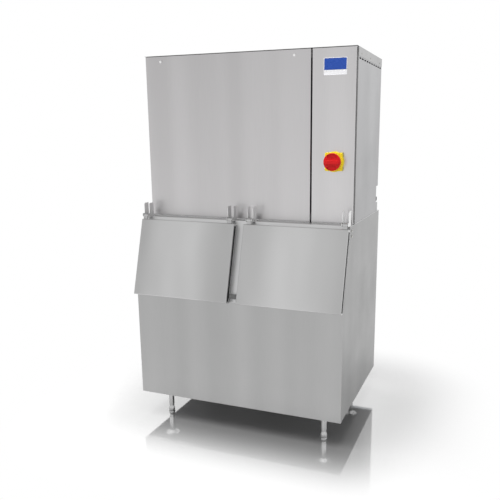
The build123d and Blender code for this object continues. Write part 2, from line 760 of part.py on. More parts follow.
def evaporator(x):
    """The freezing plate: a grid of sloping cells with the coil brazed to its back."""
    y_span = EVAPORATOR_Y
    plate = block((x - EVAPORATOR_HALF, x + EVAPORATOR_HALF), y_span, EVAPORATOR_Z)
    width = 2 * EVAPORATOR_HALF - CELL_WALL
    height = EVAPORATOR_Z[1] - EVAPORATOR_Z[0] - CELL_WALL
    depth = y_span[1] - y_span[0] - CELL_FLOOR
    drop = depth * math.tan(CELL_SLOPE)
    pitch_x = width / CELLS
    pitch_z = (height - drop) / CELLS
    face = Plane(origin=(x, y_span[0], 0), x_dir=(1, 0, 0), z_dir=(0, 1, 0))
    centre = (EVAPORATOR_Z[0] + EVAPORATOR_Z[1] - drop) / 2
    mouth = Rectangle(pitch_x - CELL_WALL, pitch_z - CELL_WALL)
    spots = GridLocations(pitch_x, pitch_z, CELLS, CELLS)
    mouths = Sketch(children=[face * Pos(0, -centre, 0) * spot * mouth for spot in spots])
    way_in = Vector(0, 1, math.tan(CELL_SLOPE)).normalized()
    cut = extrude(mouths, amount=depth / math.cos(CELL_SLOPE), dir=way_in)
    body = plate - cut + coil(x)
    for side in (-1, 1):
        for z in (EVAPORATOR_Z[0] + 20.0, EVAPORATOR_Z[1] - 20.0):
            stud = x + side * (EVAPORATOR_HALF - 12.0)
            body = body + rod((stud, y_span[1] - 1.0, z), (stud, BULKHEAD_Y, z), 5.0)
        body = body + curtain_ear(x, side)
    return body


def curtain_ear(x, side):
    """The side plate that carries one of a curtain's pins."""
    top = EVAPORATOR_Z[1]
    outline = [
        (104.0, top - 45.0),
        (104.0, top - 3.0),
        (84.0, top - 3.0),
        (CURTAIN_Y + 8.0, CURTAIN_Z + 9.0),
        (CURTAIN_Y - 8.0, CURTAIN_Z + 9.0),
        (CURTAIN_Y - 8.0, CURTAIN_Z - 9.0),
        (80.0, top - 25.0),
        (80.0, top - 45.0),
    ]
    span = sorted((x + side * EVAPORATOR_HALF, x + side * (EVAPORATOR_HALF + 3.0)))
    ear = prism(outline, span)
    hole_r = CURTAIN_PIN_R + RUN_FIT
    return ear - rod((span[0] - 5, CURTAIN_Y, CURTAIN_Z), (span[1] + 5, CURTAIN_Y, CURTAIN_Z), hole_r)


def curtain(x):
    """The hanging splash curtain: a bowed sheet under a round rail with end pins."""
    path = [
        (CURTAIN_Y, CURTAIN_Z),
        (CURTAIN_Y - 8.0, CURTAIN_Z - 40.0),
        (CURTAIN_Y - 2.0, CURTAIN_Z - 110.0),
        (CURTAIN_Y - 2.0, CURTAIN_Z - 430.0),
        (CURTAIN_Y - 11.0, TROUGH_TOP + 8.0),
    ]
    sheet = prism(strip(path[::-1], 3.0), (x - CURTAIN_HALF, x + CURTAIN_HALF))
    rail = rod((x - CURTAIN_HALF, CURTAIN_Y, CURTAIN_Z), (x + CURTAIN_HALF, CURTAIN_Y, CURTAIN_Z), 5.5)
    reach = EVAPORATOR_HALF + 6.0
    pins = rod((x - reach, CURTAIN_Y, CURTAIN_Z), (x + reach, CURTAIN_Y, CURTAIN_Z), CURTAIN_PIN_R)
    return sheet + rail + pins


def water_trough():
    """The trough under the evaporators, with holes for its supply and its drain."""
    body = soft_block(TROUGH_X, TROUGH_Y, (PAN_FLOOR, TROUGH_TOP), Axis.Z, 8.0)
    trough = tray(body, body.faces().sort_by(Axis.Z)[-1], TROUGH_WALL)
    return trough - rod((SUPPLY_X, 120, SUPPLY_Z), (SUPPLY_X, 150, SUPPLY_Z), SUPPLY_R)


def water_pump():
    """The circulation pump: motor, neck and volute, on a plate across the trough."""
    z = BIN_TOP
    profile = [
        (0.0, z + 85),
        (3.05, z + 85),
        (3.05, z + 28),
        (24.0, z + 28),
        (24.0, z + 10),
        (26.0, z + 10),
        (26.0, z + 31),
        (9.0, z + 36),
        (9.0, z + 104),
        (22.0, z + 104),
        (22.0, z + 118),
        (30.0, z + 125),
        (30.0, z + 205),
        (24.0, z + 214),
        (0.0, z + 214),
    ]
    body = turned(profile, (PUMP_X, TUBE_Y))
    plate = block((PUMP_X - 34, PUMP_X + 34), TROUGH_Y, (TROUGH_TOP, TROUGH_TOP + 4))
    outlet = rod((PUMP_X + 24.5, TUBE_Y, z + 20), (PUMP_X + 32, TUBE_Y, z + 20), HOSE_R)
    return body + plate + outlet


def pump_impeller():
    """The impeller and its shaft: six curved vanes under a disc."""
    z = BIN_TOP
    shaft = rod((PUMP_X, TUBE_Y, z + 12), (PUMP_X, TUBE_Y, z + 84), 3.0)
    disc = rod((PUMP_X, TUBE_Y, z + 22), (PUMP_X, TUBE_Y, z + 25), 21.0)
    body = shaft + disc
    for k in range(6):
        arc = ThreePointArc((3.0, 0.0), (12.0, 3.5), (20.0, 2.0))
        vane = extrude(trace(arc, 1.6), amount=11.0)
        body = body + Pos(PUMP_X, TUBE_Y, z + 12) * Rot(0, 0, 60 * k) * vane
    return body


def water_tubes():
    """The two spray tubes over the evaporators, their coupling and the hose from the pump."""
    z = EVAPORATOR_Z[1] + TUBE_R
    reach = 190.0
    ends = [(x - reach, x + reach) for x in EVAPORATOR_X]
    tubes = [rod((a, TUBE_Y, z), (b, TUBE_Y, z), TUBE_R) for a, b in ends]
    coupling = rod((ends[0][1], TUBE_Y, z), (ends[1][0], TUBE_Y, z), TUBE_R - 2.0)
    run = [
        (PUMP_X + 32, TUBE_Y, BIN_TOP + 20),
        (HOSE_X, TUBE_Y, BIN_TOP + 20),
        (HOSE_X, TUBE_Y, z),
        (ends[1][1], TUBE_Y, z),
    ]
    return tubes + [coupling, pipe(run, HOSE_R, 11.0)]


def float_valve():
    """The inlet valve on the trough's back wall, with its supply tube and the arm's pin."""
    back = TROUGH_Y[1] - TROUGH_WALL
    body = soft_block((-562, -536), (108.0, back), (BIN_TOP + 62, BIN_TOP + 98), Axis.X, 3.0)
    for y in (109.0, 125.0):
        body = body + block((-537, -517), (y, y + 4.0), (SUPPLY_Z - 8, SUPPLY_Z + 8))
    x, z = FLOAT_PIVOT
    pin = rod((x, 110.0, z), (x, 128.0, z), FLOAT_PIN_R)
    supply = rod((SUPPLY_X, back - 1.0, SUPPLY_Z), (SUPPLY_X, HEAD_BACK - SHEET, SUPPLY_Z), SUPPLY_R)
    return body + pin + supply


def float_arm():
    """The float and the bent arm that it hangs on."""
    x, z = FLOAT_PIVOT
    arm_y = (116.0, 122.0)
    points = [(x + 120.0, z - 22.0), (x + 60.0, z - 5.0), (x, z - 5.0)]
    outline = make_face(Polyline(*strip(points, -8.0), close=True))
    plane = Plane(origin=(0, arm_y[1], 0), x_dir=(1, 0, 0), z_dir=(0, -1, 0))
    arm = extrude(plane * outline, amount=arm_y[1] - arm_y[0])
    hub = rod((x, arm_y[0], z), (x, arm_y[1], z), 7.0)
    drum_z = z - 34.0
    drum = rod((x + 118.0, 84.0, drum_z), (x + 118.0, 130.0, drum_z), 19.0)
    drum = fillet(drum.edges().filter_by(GeomType.CIRCLE), 4.0)
    return arm + hub + drum - rod((x, 100.0, z), (x, 130.0, z), FLOAT_PIN_R + RUN_FIT)


def dump_valve():
    """The trough's drain valve behind the bulkhead, with its coil on top."""
    x, z = DUMP_X, BIN_TOP + 40.0
    y_span = (BULKHEAD_Y + 25.0, BULKHEAD_Y + 60.0)
    middle = sum(y_span) / 2
    spigot = rod((x, BULKHEAD_Y, DUMP_Z), (x, y_span[0] + 1.0, DUMP_Z), SPIGOT_R)
    body = soft_block((x - 18, x + 18), y_span, (PAN_FLOOR, z), Axis.Z, 5.0)
    return spigot + body + rod((x, middle, z), (x, middle, z + 38.0), 16.0)


def compressor():
    """The hermetic compressor: a domed can on a foot plate with four rubber feet."""
    x, y = COMPRESSOR_XY
    z = BIN_TOP
    profile = [
        (0, z + 20),
        (60, z + 22),
        (88, z + 45),
        (92, z + 60),
        (92, z + 170),
        (94, z + 172),
        (94, z + 180),
        (92, z + 182),
        (92, z + 275),
        (84, z + 300),
        (60, z + 318),
        (0, z + 326),
    ]
    can = turned(profile, (x, y))
    plate = soft_block((x - 98, x + 98), (y - 88, y + 88), (z + 14, z + 24), Axis.Z, 15.0)
    body = can + plate
    for dx in (-84, 84):
        for dy in (-74, 74):
            body = body + rod((x + dx, y + dy, PAN_FLOOR), (x + dx, y + dy, z + 34), 10.0)
    terminals = soft_block((x - 28, x + 28), (y - 112, y - 80), (z + 150, z + 220), Axis.Y, 4.0)
    suction = rod((x + STUB_SIDE, y, z + 300), (x + STUB_SIDE, y, STUB_TOP), 11.0)
    discharge = rod((x - STUB_SIDE, y, z + 300), (x - STUB_SIDE, y, STUB_TOP), 8.0)
    return body + terminals + suction + discharge


def condenser():
    """The water-cooled condenser: a shell on two saddles, with its tube connections."""
    low, high = CONDENSER_X
    y, z, r = CONDENSER_Y, CONDENSER_Z, CONDENSER_R
    body = rod((low, y, z), (high, y, z), r)
    for x in (low, high - 14.0):
        body = body + rod((x, y, z), (x + 14.0, y, z), r + 8.0)
    for x in (low + 90.0, high - 104.0):
        saddle = [(y - 50, PAN_FLOOR), (y + 50, PAN_FLOOR), (y + 40, z), (y - 40, z)]
        body = body + prism(saddle, (x, x + 14.0))
    box_x = (low - 30.0, low + 1.0)
    body = body + rod((box_x[0], y, z), (box_x[1], y, z), r - 6.0)
    for height in WATER_Z:
        x = low - 15.0
        body = body + rod((x, y + 20.0, height), (x, HEAD_BACK - SHEET, height), FITTING_R)
    for x, radius in ((GAS_IN_X, 8.0), (LIQUID_OUT_X, 7.0)):
        body = body + rod((x, y, z + r - 6.0), (x, y, CONDENSER_TOP_Z), radius)
    return body


def filter_drier():
    """The filter drier over the condenser's liquid outlet, with tapered ends."""
    low, high = CONDENSER_TOP_Z, CONDENSER_TOP_Z + DRIER_LENGTH
    profile = [
        (0, low),
        (7, low),
        (7, low + 12),
        (26, low + 28),
        (26, high - 28),
        (7, high - 12),
        (7, high),
        (0, high),
    ]
    return turned(profile, (LIQUID_OUT_X, CONDENSER_Y))


def expansion_valves():
    """The two expansion valves at the evaporators' inlets, with their diaphragm heads."""
    z = COIL_FIRST
    valves = []
    for x in EVAPORATOR_X:
        centre = x - COIL_X
        body = soft_block((centre - 14, centre + 14), (STUB_END, 205.0), (z - 20, z + 20), Axis.Z, 4.0)
        head = [(0, z + 20), (9, z + 20), (9, z + 30), (20, z + 33), (20, z + 38), (0, z + 42)]
        valves.append(body + turned(head, (centre, LINE_Y)))
    return valves


def hot_gas_valve():
    """The harvest valve in the hot gas line, with its solenoid coil on top."""
    low, high = HARVEST_X
    y, z = HOT_GAS_Y, HOT_GAS_Z
    body = soft_block(HARVEST_X, (y - 15, y + 15), (z - 15, z + 15), Axis.Z, 4.0)
    top = soft_block((low + 3, high - 3), (y - 20, y + 20), (z + 22, z + 60), Axis.Z, 6.0)
    centre = ((low + high) / 2, y)
    return body + top + rod((*centre, z + 14), (*centre, z + 64), 7.0)


def refrigerant_pipes():
    """The suction line, the liquid line and the hot gas line."""
    inlets = [at - COIL_X for at in EVAPORATOR_X]
    return [suction_line(inlets), liquid_line(inlets), discharge_line(), harvest_line(inlets)]


def suction_line(inlets):
    """The wide line that gathers the coils' outlets and runs to the compressor."""
    x, y = COMPRESSOR_XY[0] + STUB_SIDE, COMPRESSOR_XY[1]
    z = COIL_FIRST + (COIL_PASSES - 1) * COIL_PITCH
    header_y = STUB_END + 11.0
    run = [(inlets[0] - 20.0, header_y, z), (x, header_y, z), (x, y, z), (x, y, STUB_TOP)]
    line = pipe(run, 9.0, 28.0)
    for at in inlets:
        line = line + rod((at, STUB_END, z), (at, header_y, z), COIL_R)
    return line


def liquid_line(inlets):
    """The line from the filter drier to the two expansion valves."""
    start = CONDENSER_TOP_Z + DRIER_LENGTH
    run = [
        (LIQUID_OUT_X, CONDENSER_Y, start),
        (LIQUID_OUT_X, CONDENSER_Y, start + 30.0),
        (LIQUID_OUT_X, LINE_Y, start + 30.0),
        (LIQUID_OUT_X, LINE_Y, LINE_Z),
    ]
    line = pipe(run, 5.0, 18.0)
    line = line + rod((inlets[0] - 8.0, LINE_Y, LINE_Z), (inlets[1] + 8.0, LINE_Y, LINE_Z), 5.0)
    for at in inlets:
        line = line + rod((at, LINE_Y, LINE_Z), (at, LINE_Y, COIL_FIRST - 20.0), 4.0)
    return line


def discharge_line():
    """The hot gas line from the compressor to the condenser, with its harvest branch."""
    x, y = COMPRESSOR_XY[0] - STUB_SIDE, COMPRESSOR_XY[1]
    run = [
        (x, y, STUB_TOP),
        (x, y, HOT_GAS_Z),
        (GAS_IN_X, HOT_GAS_Y, HOT_GAS_Z),
        (GAS_IN_X, CONDENSER_Y, HOT_GAS_Z),
        (GAS_IN_X, CONDENSER_Y, CONDENSER_TOP_Z),
    ]
    branch = (GAS_IN_X + 40.0, HOT_GAS_Y, HOT_GAS_Z)
    return pipe(run, 6.0, 20.0) + rod(branch, (HARVEST_X[1], HOT_GAS_Y, HOT_GAS_Z), 5.0)


def harvest_line(inlets):
    """The line from the harvest valve down to both evaporator inlets."""
    drops = []
    for at in inlets:
        run = [(at, HOT_GAS_Y, HOT_GAS_Z), (at, HOT_GAS_Y, COIL_FIRST), (at, 205.0, COIL_FIRST)]
        drops.append(run)
    first = [(HARVEST_X[0], HOT_GAS_Y, HOT_GAS_Z)] + drops[0]
    return pipe(first, 5.0, 12.0) + pipe(drops[1], 5.0, 12.0)


def control_box():
    """The control box: a tray open to the front, hung on the bulkhead, with the toggle's body."""
    body = block((BULKHEAD_X, BOX_X[1]), BOX_Y, BOX_Z)
    box = tray(body, body.faces().sort_by(Axis.Y)[0], SHEET)
    x, y, z = TOGGLE_X, TOGGLE_Y, TOGGLE_Z
    ledge_y = (y + 10.0, y + 10.0 + SHEET)
    ledge = block((BULKHEAD_X + 1, BOX_X[1] - 1), ledge_y, (BOX_Z[0], z + 30))
    body = block((x - 14, x + 14), (y - 6, y + 11), (z - 10, z + 10))
    space = rod((x - 9, y, z), (x + 9, y, z), 6.0)
    mouth = block((x - 9, x + 9), (y - 20, y), (z - 6, z + 6))
    pin = rod((x - 10, y, z), (x + 10, y, z), TOGGLE_PIN_R)
    return box + ledge + (body - space - mouth) + pin


def toggle_lever():
    """The toggle switch's lever, a tapered bat on a round root."""
    x, y, z = TOGGLE_X, TOGGLE_Y, TOGGLE_Z
    root = rod((x - 8, y, z), (x + 8, y, z), 4.5)
    outline = [(y, z - 2), (y - 18, z - 3.5), (y - 18, z + 3.5), (y, z + 2)]
    bat = prism(outline, (x - 3, x + 3))
    return root + bat - rod((x - 12, y, z), (x + 12, y, z), TOGGLE_PIN_R + RUN_FIT)


def control_board():
    """The control board on its spacers, with its transformer, relays and capacitors."""
    back = BOX_Y[1] - SHEET
    face = back - 10.0
    x0, x1 = BOX_X[0] + 20, BOX_X[1] - 20
    z0, z1 = BOX_Z[0] + 190, BOX_Z[1] - 20
    board = block((x0, x1), (face, face + 1.6), (z0, z1))
    for x in (x0 + 6, x1 - 6):
        for z in (z0 + 6, z1 - 6):
            board = board + rod((x, face + 1.0, z), (x, back, z), 3.0)
    for k in range(4):
        z = z0 + 14 + 26 * k
        board = board + block((x0 + 12, x0 + 34), (face - 16, face + 0.5), (z, z + 20))
    board = board + block((x1 - 64, x1 - 14), (face - 34, face + 0.5), (z1 - 60, z1 - 16))
    for k in range(3):
        x = x0 + 60 + 24 * k
        board = board + rod((x, face - 22, z0 + 30), (x, face + 0.5, z0 + 30), 8.0)
    return board


def contactor():
    """The compressor's contactor, under the control board."""
    back = BOX_Y[1] - SHEET
    x0, z0 = BOX_X[0] + 90, BOX_Z[0] + 85
    body = block((x0, x0 + 70), (back - 30, back), (z0, z0 + 80))
    body = body + block((x0 + 5, x0 + 65), (back - 62, back - 29), (z0 + 18, z0 + 62))
    for k in range(3):
        x = x0 + 14 + 21 * k
        for z in (z0 + 8, z0 + 72):
            body = body + rod((x, back - 36, z), (x, back - 28, z), 5.0)
    return body


def pipe_fittings():
    """The threaded unions on the back panel: condenser water in and out, and drinking water."""
    unions = []
    for x, z in FITTINGS:
        inner = HEAD_BACK - SHEET
        hexagon = Plane(origin=(x, HEAD_BACK, z), z_dir=(0, 1, 0)) * RegularPolygon(17.0, 6)
        union = rod((x, inner, z), (x, HEAD_BACK + 1, z), FITTING_R) + extrude(hexagon, amount=8.0)
        union = union + rod((x, HEAD_BACK + 7, z), (x, HEAD_BACK + 30, z), UNION_R)
        unions.append(union - rod((x, HEAD_BACK + 4, z), (x, HEAD_BACK + 35, z), 9.0))
    return unions


def cable_gland():
    """The black gland in the power entry pocket, with the bore for a supply cable."""
    x, y, z = POCKET_WALL_X, GLAND_Y, GLAND_Z
    hexagon = Plane(origin=(x, y, z), x_dir=(0, 1, 0), z_dir=(1, 0, 0))
    body = extrude(hexagon * RegularPolygon(GLAND_HEX_R, 6), amount=10.0)
    body = body + rod((x - SHEET, y, z), (x + 1.0, y, z), GLAND_R)
    dome = rod((x + 9.0, y, z), (x + POCKET_WIDTH, y, z), GLAND_DOME_R)
    dome = fillet(dome.edges().sort_by(Axis.X)[-1], 4.0)
    return body + dome - rod((x - 5.0, y, z), (x + 40.0, y, z), GLAND_BORE_R)


def whole(shape):
    """One exportable shape: a single solid, or a group of separate solids."""
    if isinstance(shape, list):
        return Compound(children=[solid for item in shape for solid in item.solids()])
    solids = shape.solids()
    return solids[0] if len(solids) == 1 else Compound(children=solids)


def build_bin():
    """The storage bin's pieces by name."""
    right = side_of_bin()
    left = mirrored(right)
    pieces = {
        "bin_side_right": right,
        "bin_side_left": left,
        "bin_front_panel": bin_front(),
        "bin_back_panel": bin_back(),
        "bin_bottom_pan": bin_floor(),
        "bin_hood": bin_hood(),
        "bin_liner": bin_liner(),
        "insulation_boards": insulation_boards(),
        "bin_drain": drain_pipe(),
        "centre_bumper": centre_bumper(),
        "legs": legs(),
    }
    spots = [side * x for x in HINGE_X for side in (-1, 1)]
    pieces["hinge_brackets"] = [hinge_bracket(x) for x in spots]
    pieces["hinge_pins"] = [hinge_pin(x) for x in spots]
    for name, side in (("left", -1), ("right", 1)):
        skin = door_skin(side)
        pieces[f"{name}_door_skin"] = skin
        pieces[f"{name}_door_liner"] = door_liner(side, skin)
        pieces[f"{name}_door_gasket"] = door_gasket(side)
        pieces[f"foot_front_{name}"] = foot((side * LEG_X, LEG_Y[0]))
        pieces[f"foot_back_{name}"] = foot((side * LEG_X, LEG_Y[1]))
    return pieces


def build_cabinet():
    """The head's casing and what is fixed to it, by name."""
    plain = side_of_head()
    left = mirrored(plain)
    right = plain - pocket_space()
    return {
        "head_base_pan": base_pan(),
        "head_side_left": left,
        "head_side_right": right,
        "head_back_panel": head_back() - right,
        "head_top_cover": head_cover([left, right]),
        "bulkhead": bulkhead(),
        "front_panel_wide": wide_panel(),
        "captive_screws": captive_screws(),
        "front_panel_narrow": narrow_panel(),
        "badge_plate": badge_plate(),
        "isolator_plate": isolator_plate(),
        "isolator_knob": isolator_knob(),
        "isolator_shaft": isolator_shaft(),
        "isolator_switch": isolator_switch(),
        "pipe_fittings": pipe_fittings(),
        "cable_gland": cable_gland(),
    }


def build_ice_maker():
    """The pieces that make the ice, by name."""
    pieces = {
        "water_trough": water_trough(),
        "water_pump": water_pump(),
        "pump_impeller": pump_impeller(),
        "water_tubes": water_tubes(),
        "float_valve": float_valve(),
        "float_arm": float_arm(),
        "dump_valve": dump_valve(),
    }
    for name, x in zip(("left", "right"), EVAPORATOR_X):
        pieces[f"evaporator_{name}"] = evaporator(x)
        pieces[f"water_curtain_{name}"] = curtain(x)
    return pieces


def build_machinery():
    """The refrigeration and control pieces, by name."""
    return {
        "compressor": compressor(),
        "condenser": condenser(),
        "filter_drier": filter_drier(),
        "expansion_valves": expansion_valves(),
        "hot_gas_valve": hot_gas_valve(),
        "refrigerant_pipes": refrigerant_pipes(),
        "control_box": control_box(),
        "control_board": control_board(),
        "contactor": contactor(),
        "toggle_lever": toggle_lever(),
    }


def main():
    """Build every piece and write each one to its own file."""
    os.makedirs("parts", exist_ok=True)
    pieces = {**build_bin(), **build_cabinet(), **build_ice_maker(), **build_machinery()}
    for name, shape in pieces.items():
        export_step(whole(shape), f"parts/{name}.step")
    print(len(pieces), "pieces")


main()
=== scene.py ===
"""Cube ice machine: its finishes, small fittings, floor, lights and camera.

Metres. X is to the machine's right, Y to its back, Z up, with the origin on the floor.
"""

import logging
import math
from dataclasses import dataclass, field
from enum import Enum
from typing import Sequence, Union

import bmesh
import bpy
from mathutils import Matrix, Vector


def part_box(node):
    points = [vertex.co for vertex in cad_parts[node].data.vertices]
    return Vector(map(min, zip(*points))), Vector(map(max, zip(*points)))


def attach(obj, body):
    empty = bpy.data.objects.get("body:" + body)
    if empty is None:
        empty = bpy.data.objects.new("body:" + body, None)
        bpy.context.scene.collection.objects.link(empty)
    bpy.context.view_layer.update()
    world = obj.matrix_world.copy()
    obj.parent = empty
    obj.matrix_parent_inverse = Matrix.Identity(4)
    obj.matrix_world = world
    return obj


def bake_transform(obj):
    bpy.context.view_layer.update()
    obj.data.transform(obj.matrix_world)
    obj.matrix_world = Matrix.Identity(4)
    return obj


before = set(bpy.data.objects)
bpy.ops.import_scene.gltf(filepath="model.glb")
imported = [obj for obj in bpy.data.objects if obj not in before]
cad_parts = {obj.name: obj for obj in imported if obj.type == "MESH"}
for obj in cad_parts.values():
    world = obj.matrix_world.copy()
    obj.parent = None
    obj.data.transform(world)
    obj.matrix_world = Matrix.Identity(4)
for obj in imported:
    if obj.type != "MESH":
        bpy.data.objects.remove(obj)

LOG = logging.getLogger("ice_machine")
Point = tuple[float, float, float]
Colour = tuple[float, float, float]
Span = tuple[float, float]
Socket = bpy.types.NodeSocket
Value = Union[Socket, float, Point]
EVEN: Point = (1.0, 1.0, 1.0)
WHITE = (1.0, 1.0, 1.0, 1.0)
NOISE_ROUGHNESS = 0.6
NOISE_SPAN: Span = (0.3, 0.7)
EDGE_STEPS = 2


class Grain(Enum):
    """Which way the brushing of a sheet runs, as the stretch of its noise along X, Y and Z."""

    UPRIGHT = (70.0, 70.0, 1.2)
    ACROSS = (1.2, 70.0, 70.0)


class Tree:
    """The nodes of one node tree, with short ways to add and join them."""

    def __init__(self, tree: bpy.types.NodeTree) -> None:
        """Take a node tree."""
        self.tree = tree

    def add(self, kind: str, **values: object) -> bpy.types.Node:
        """Add a node and set its properties.

        Args:
            kind: Blender's name of the node type.
            values: Properties of the node by name.

        Returns:
            The new node.
        """
        node = self.tree.nodes.new(kind)
        for key, value in values.items():
            setattr(node, key, value)
        return node

    def link(self, source: Socket, target: Socket) -> None:
        """Join two sockets."""
        self.tree.links.new(source, target)

    def combine(self, kind: str, operation: str, values: Sequence[Value]) -> bpy.types.Node:
        """Add a node that computes something from values.

        Args:
            kind: Blender's name of the node type.
            operation: Blender's name of the operation.
            values: Its inputs in order, each a socket or what a socket is set to.

        Returns:
            The new node.
        """
        node = self.add(kind, operation=operation)
        for value, target in zip(values, node.inputs):
            if isinstance(value, bpy.types.NodeSocket):
                self.link(value, target)
            else:
                target.default_value = value
        return node

    def math(self, operation: str, *values: Value) -> Socket:
        """The number that a math node makes of its inputs."""
        return self.combine("ShaderNodeMath", operation, values).outputs[0]

    def vector(self, operation: str, *values: Value) -> Socket:
        """The vector that a vector math node makes of its inputs."""
        return self.combine("ShaderNodeVectorMath", operation, values).outputs["Vector"]

    def spread(self, value: Socket, span: Span, result: Span, kind: str = "SMOOTHSTEP") -> Socket:
        """Map a value's span to a result's span, and hold the ends beyond it.

        Args:
            value: The value.
            span: Its start and end.
            result: The results at the start and the end.
            kind: How the result runs between the ends.

        Returns:
            The socket of the result.
        """
        node = self.add("ShaderNodeMapRange", interpolation_type=kind)
        for name, part in zip(("From Min", "From Max", "To Min", "To Max"), (*span, *result)):
            node.inputs[name].default_value = part
        self.link(value, node.inputs["Value"])
        return node.outputs["Result"]


class Nodes(Tree):
    """The nodes of one new material."""

    def __init__(self, name: str) -> None:
        """Start a material with a plain shader.

        Args:
            name: The material's name.
        """
        self.material = bpy.data.materials.new(name)
        self.material.use_nodes = True
        super().__init__(self.material.node_tree)
        self.shader = self.tree.nodes["Principled BSDF"]

    def set(self, **values: object) -> None:
        """Set the shader's own sockets; an underscore stands for a space."""
        for key, value in values.items():
            self.shader.inputs[key.replace("_", " ").title()].default_value = value

    def feed(self, name: str, source: Socket) -> None:
        """Drive one of the shader's sockets by another socket."""
        self.link(source, self.shader.inputs[name])

    def coordinates(self, scale: Sequence[float] = EVEN) -> Socket:
        """Object coordinates stretched by a scale.

        Args:
            scale: The factor along X, Y and Z.

        Returns:
            The stretched coordinate's socket.
        """
        place = self.add("ShaderNodeTexCoord")
        stretch = self.add("ShaderNodeMapping")
        stretch.inputs["Scale"].default_value = scale
        self.link(place.outputs["Object"], stretch.inputs["Vector"])
        return stretch.outputs["Vector"]

    def noise(self, size: float, detail: float, scale: Sequence[float] = EVEN) -> Socket:
        """A noise value, which lies mostly within NOISE_SPAN.

        Args:
            size: The noise's own scale.
            detail: Its number of octaves.
            scale: The stretch of its coordinates along X, Y and Z.

        Returns:
            The socket of the noise value.
        """
        noise = self.add("ShaderNodeTexNoise")
        noise.inputs["Scale"].default_value = size
        noise.inputs["Detail"].default_value = detail
        noise.inputs["Roughness"].default_value = NOISE_ROUGHNESS
        self.link(self.coordinates(scale), noise.inputs["Vector"])
        return noise.outputs["Fac"]

    def cells(self, size: float) -> bpy.types.Node:
        """A Voronoi node.

        Args:
            size: The scale of its cells.

        Returns:
            The node.
        """
        cells = self.add("ShaderNodeTexVoronoi")
        cells.inputs["Scale"].default_value = size
        self.link(self.coordinates(), cells.inputs["Vector"])
        return cells

    def ramp(self, value: Socket, span: Span, first: Colour, last: Colour) -> Socket:
        """A colour ramp between two colours.

        Args:
            value: The value that drives it.
            span: The values at which the first colour ends and the last one starts.
            first: The first colour.
            last: The last colour.

        Returns:
            The socket of the colour.
        """
        ramp = self.add("ShaderNodeValToRGB")
        for element, place, colour in zip(ramp.color_ramp.elements, span, (first, last)):
            element.position = place
            element.color = (*colour, 1.0)
        self.link(value, ramp.inputs["Fac"])
        return ramp.outputs["Color"]

    def roughen(self, value: Socket, base: float, change: Span) -> None:
        """Vary the roughness about its base, by the two changes at the noise's low and high end."""
        result = (base + change[0], base + change[1])
        self.feed("Roughness", self.spread(value, NOISE_SPAN, result, "LINEAR"))

    def bump(self, value: Socket, strength: float, distance: float) -> None:
        """Raise the surface by a value.

        Args:
            value: The height.
            strength: How strongly it shows.
            distance: The height of a value of 1, in metres.
        """
        bump = self.add("ShaderNodeBump")
        bump.inputs["Strength"].default_value = strength
        bump.inputs["Distance"].default_value = distance
        self.link(value, bump.inputs["Height"])
        self.feed("Normal", bump.outputs["Normal"])


def mixed(colour: Colour, factor: float) -> Colour:
    """A colour made lighter or darker by a factor."""
    return tuple(min(1.0, part * factor) for part in colour)


@dataclass(frozen=True)
class BrushedSteel:
    """Sheet steel with a brushed grain, faint bands and a little handling haze.

    A noise is the pair of its scale and its octaves, and the haze is what its low and high end add
    to the roughness. The painted sheen is a wave of painted light and shade along one axis,
    lightest at its centre.
    """

    name: str
    colour: Colour
    roughness: float = 0.32
    grain: Grain = Grain.UPRIGHT
    contrast: float = 0.05
    scratch: float = 0.06
    scratch_height: float = 0.0006
    scratch_noise: Span = (9.0, 3.0)
    band_share: float = 0.045
    band_noise: Span = (1.6, 1.0)
    band_weight: float = 0.75
    haze_noise: Span = (3.5, 4.0)
    haze: Span = (-0.03, 0.05)
    tone_span: Span = (0.38, 0.62)
    painted_sheen: float = 0.0
    sheen_axis: str = "X"
    sheen_centre: float = 0.30
    sheen_pitch: float = 0.637

    def sheen_bands(self, nodes: Nodes, colour: Socket) -> Socket:
        """Paint broad, soft bands of painted light and shade over a colour.

        Args:
            nodes: The material's nodes.
            colour: The colour's socket.

        Returns:
            The socket of the banded colour.
        """
        split = nodes.add("ShaderNodeSeparateXYZ")
        nodes.link(nodes.coordinates(), split.inputs["Vector"])
        turn = math.tau / self.sheen_pitch
        phase = nodes.math(
            "MULTIPLY_ADD", split.outputs[self.sheen_axis], turn, -turn * self.sheen_centre
        )
        share = nodes.math("MULTIPLY_ADD", nodes.math("COSINE", phase), self.painted_sheen, 1.0)
        return nodes.vector("MULTIPLY", colour, share)

    def make(self) -> bpy.types.Material:
        """Build the material.

        Returns:
            The new material.
        """
        nodes = Nodes(self.name)
        nodes.set(metallic=1.0)
        fine = nodes.noise(*self.scratch_noise, self.grain.value)
        stretch = tuple(part * self.band_share for part in self.grain.value)
        broad = nodes.noise(*self.band_noise, stretch)
        scaled = nodes.math("MULTIPLY", fine, 1.0 - self.band_weight)
        blend = nodes.math("MULTIPLY_ADD", broad, self.band_weight, scaled)
        dark, light = mixed(self.colour, 1 - self.contrast), mixed(self.colour, 1 + self.contrast)
        colour = nodes.ramp(blend, self.tone_span, dark, light)
        # The painted sheen lays painted light and shade over the steel's colour.
        if self.painted_sheen:
            colour = self.sheen_bands(nodes, colour)
        nodes.feed("Base Color", colour)
        nodes.roughen(nodes.noise(*self.haze_noise), self.roughness, self.haze)
        nodes.bump(fine, self.scratch, self.scratch_height)
        return nodes.material


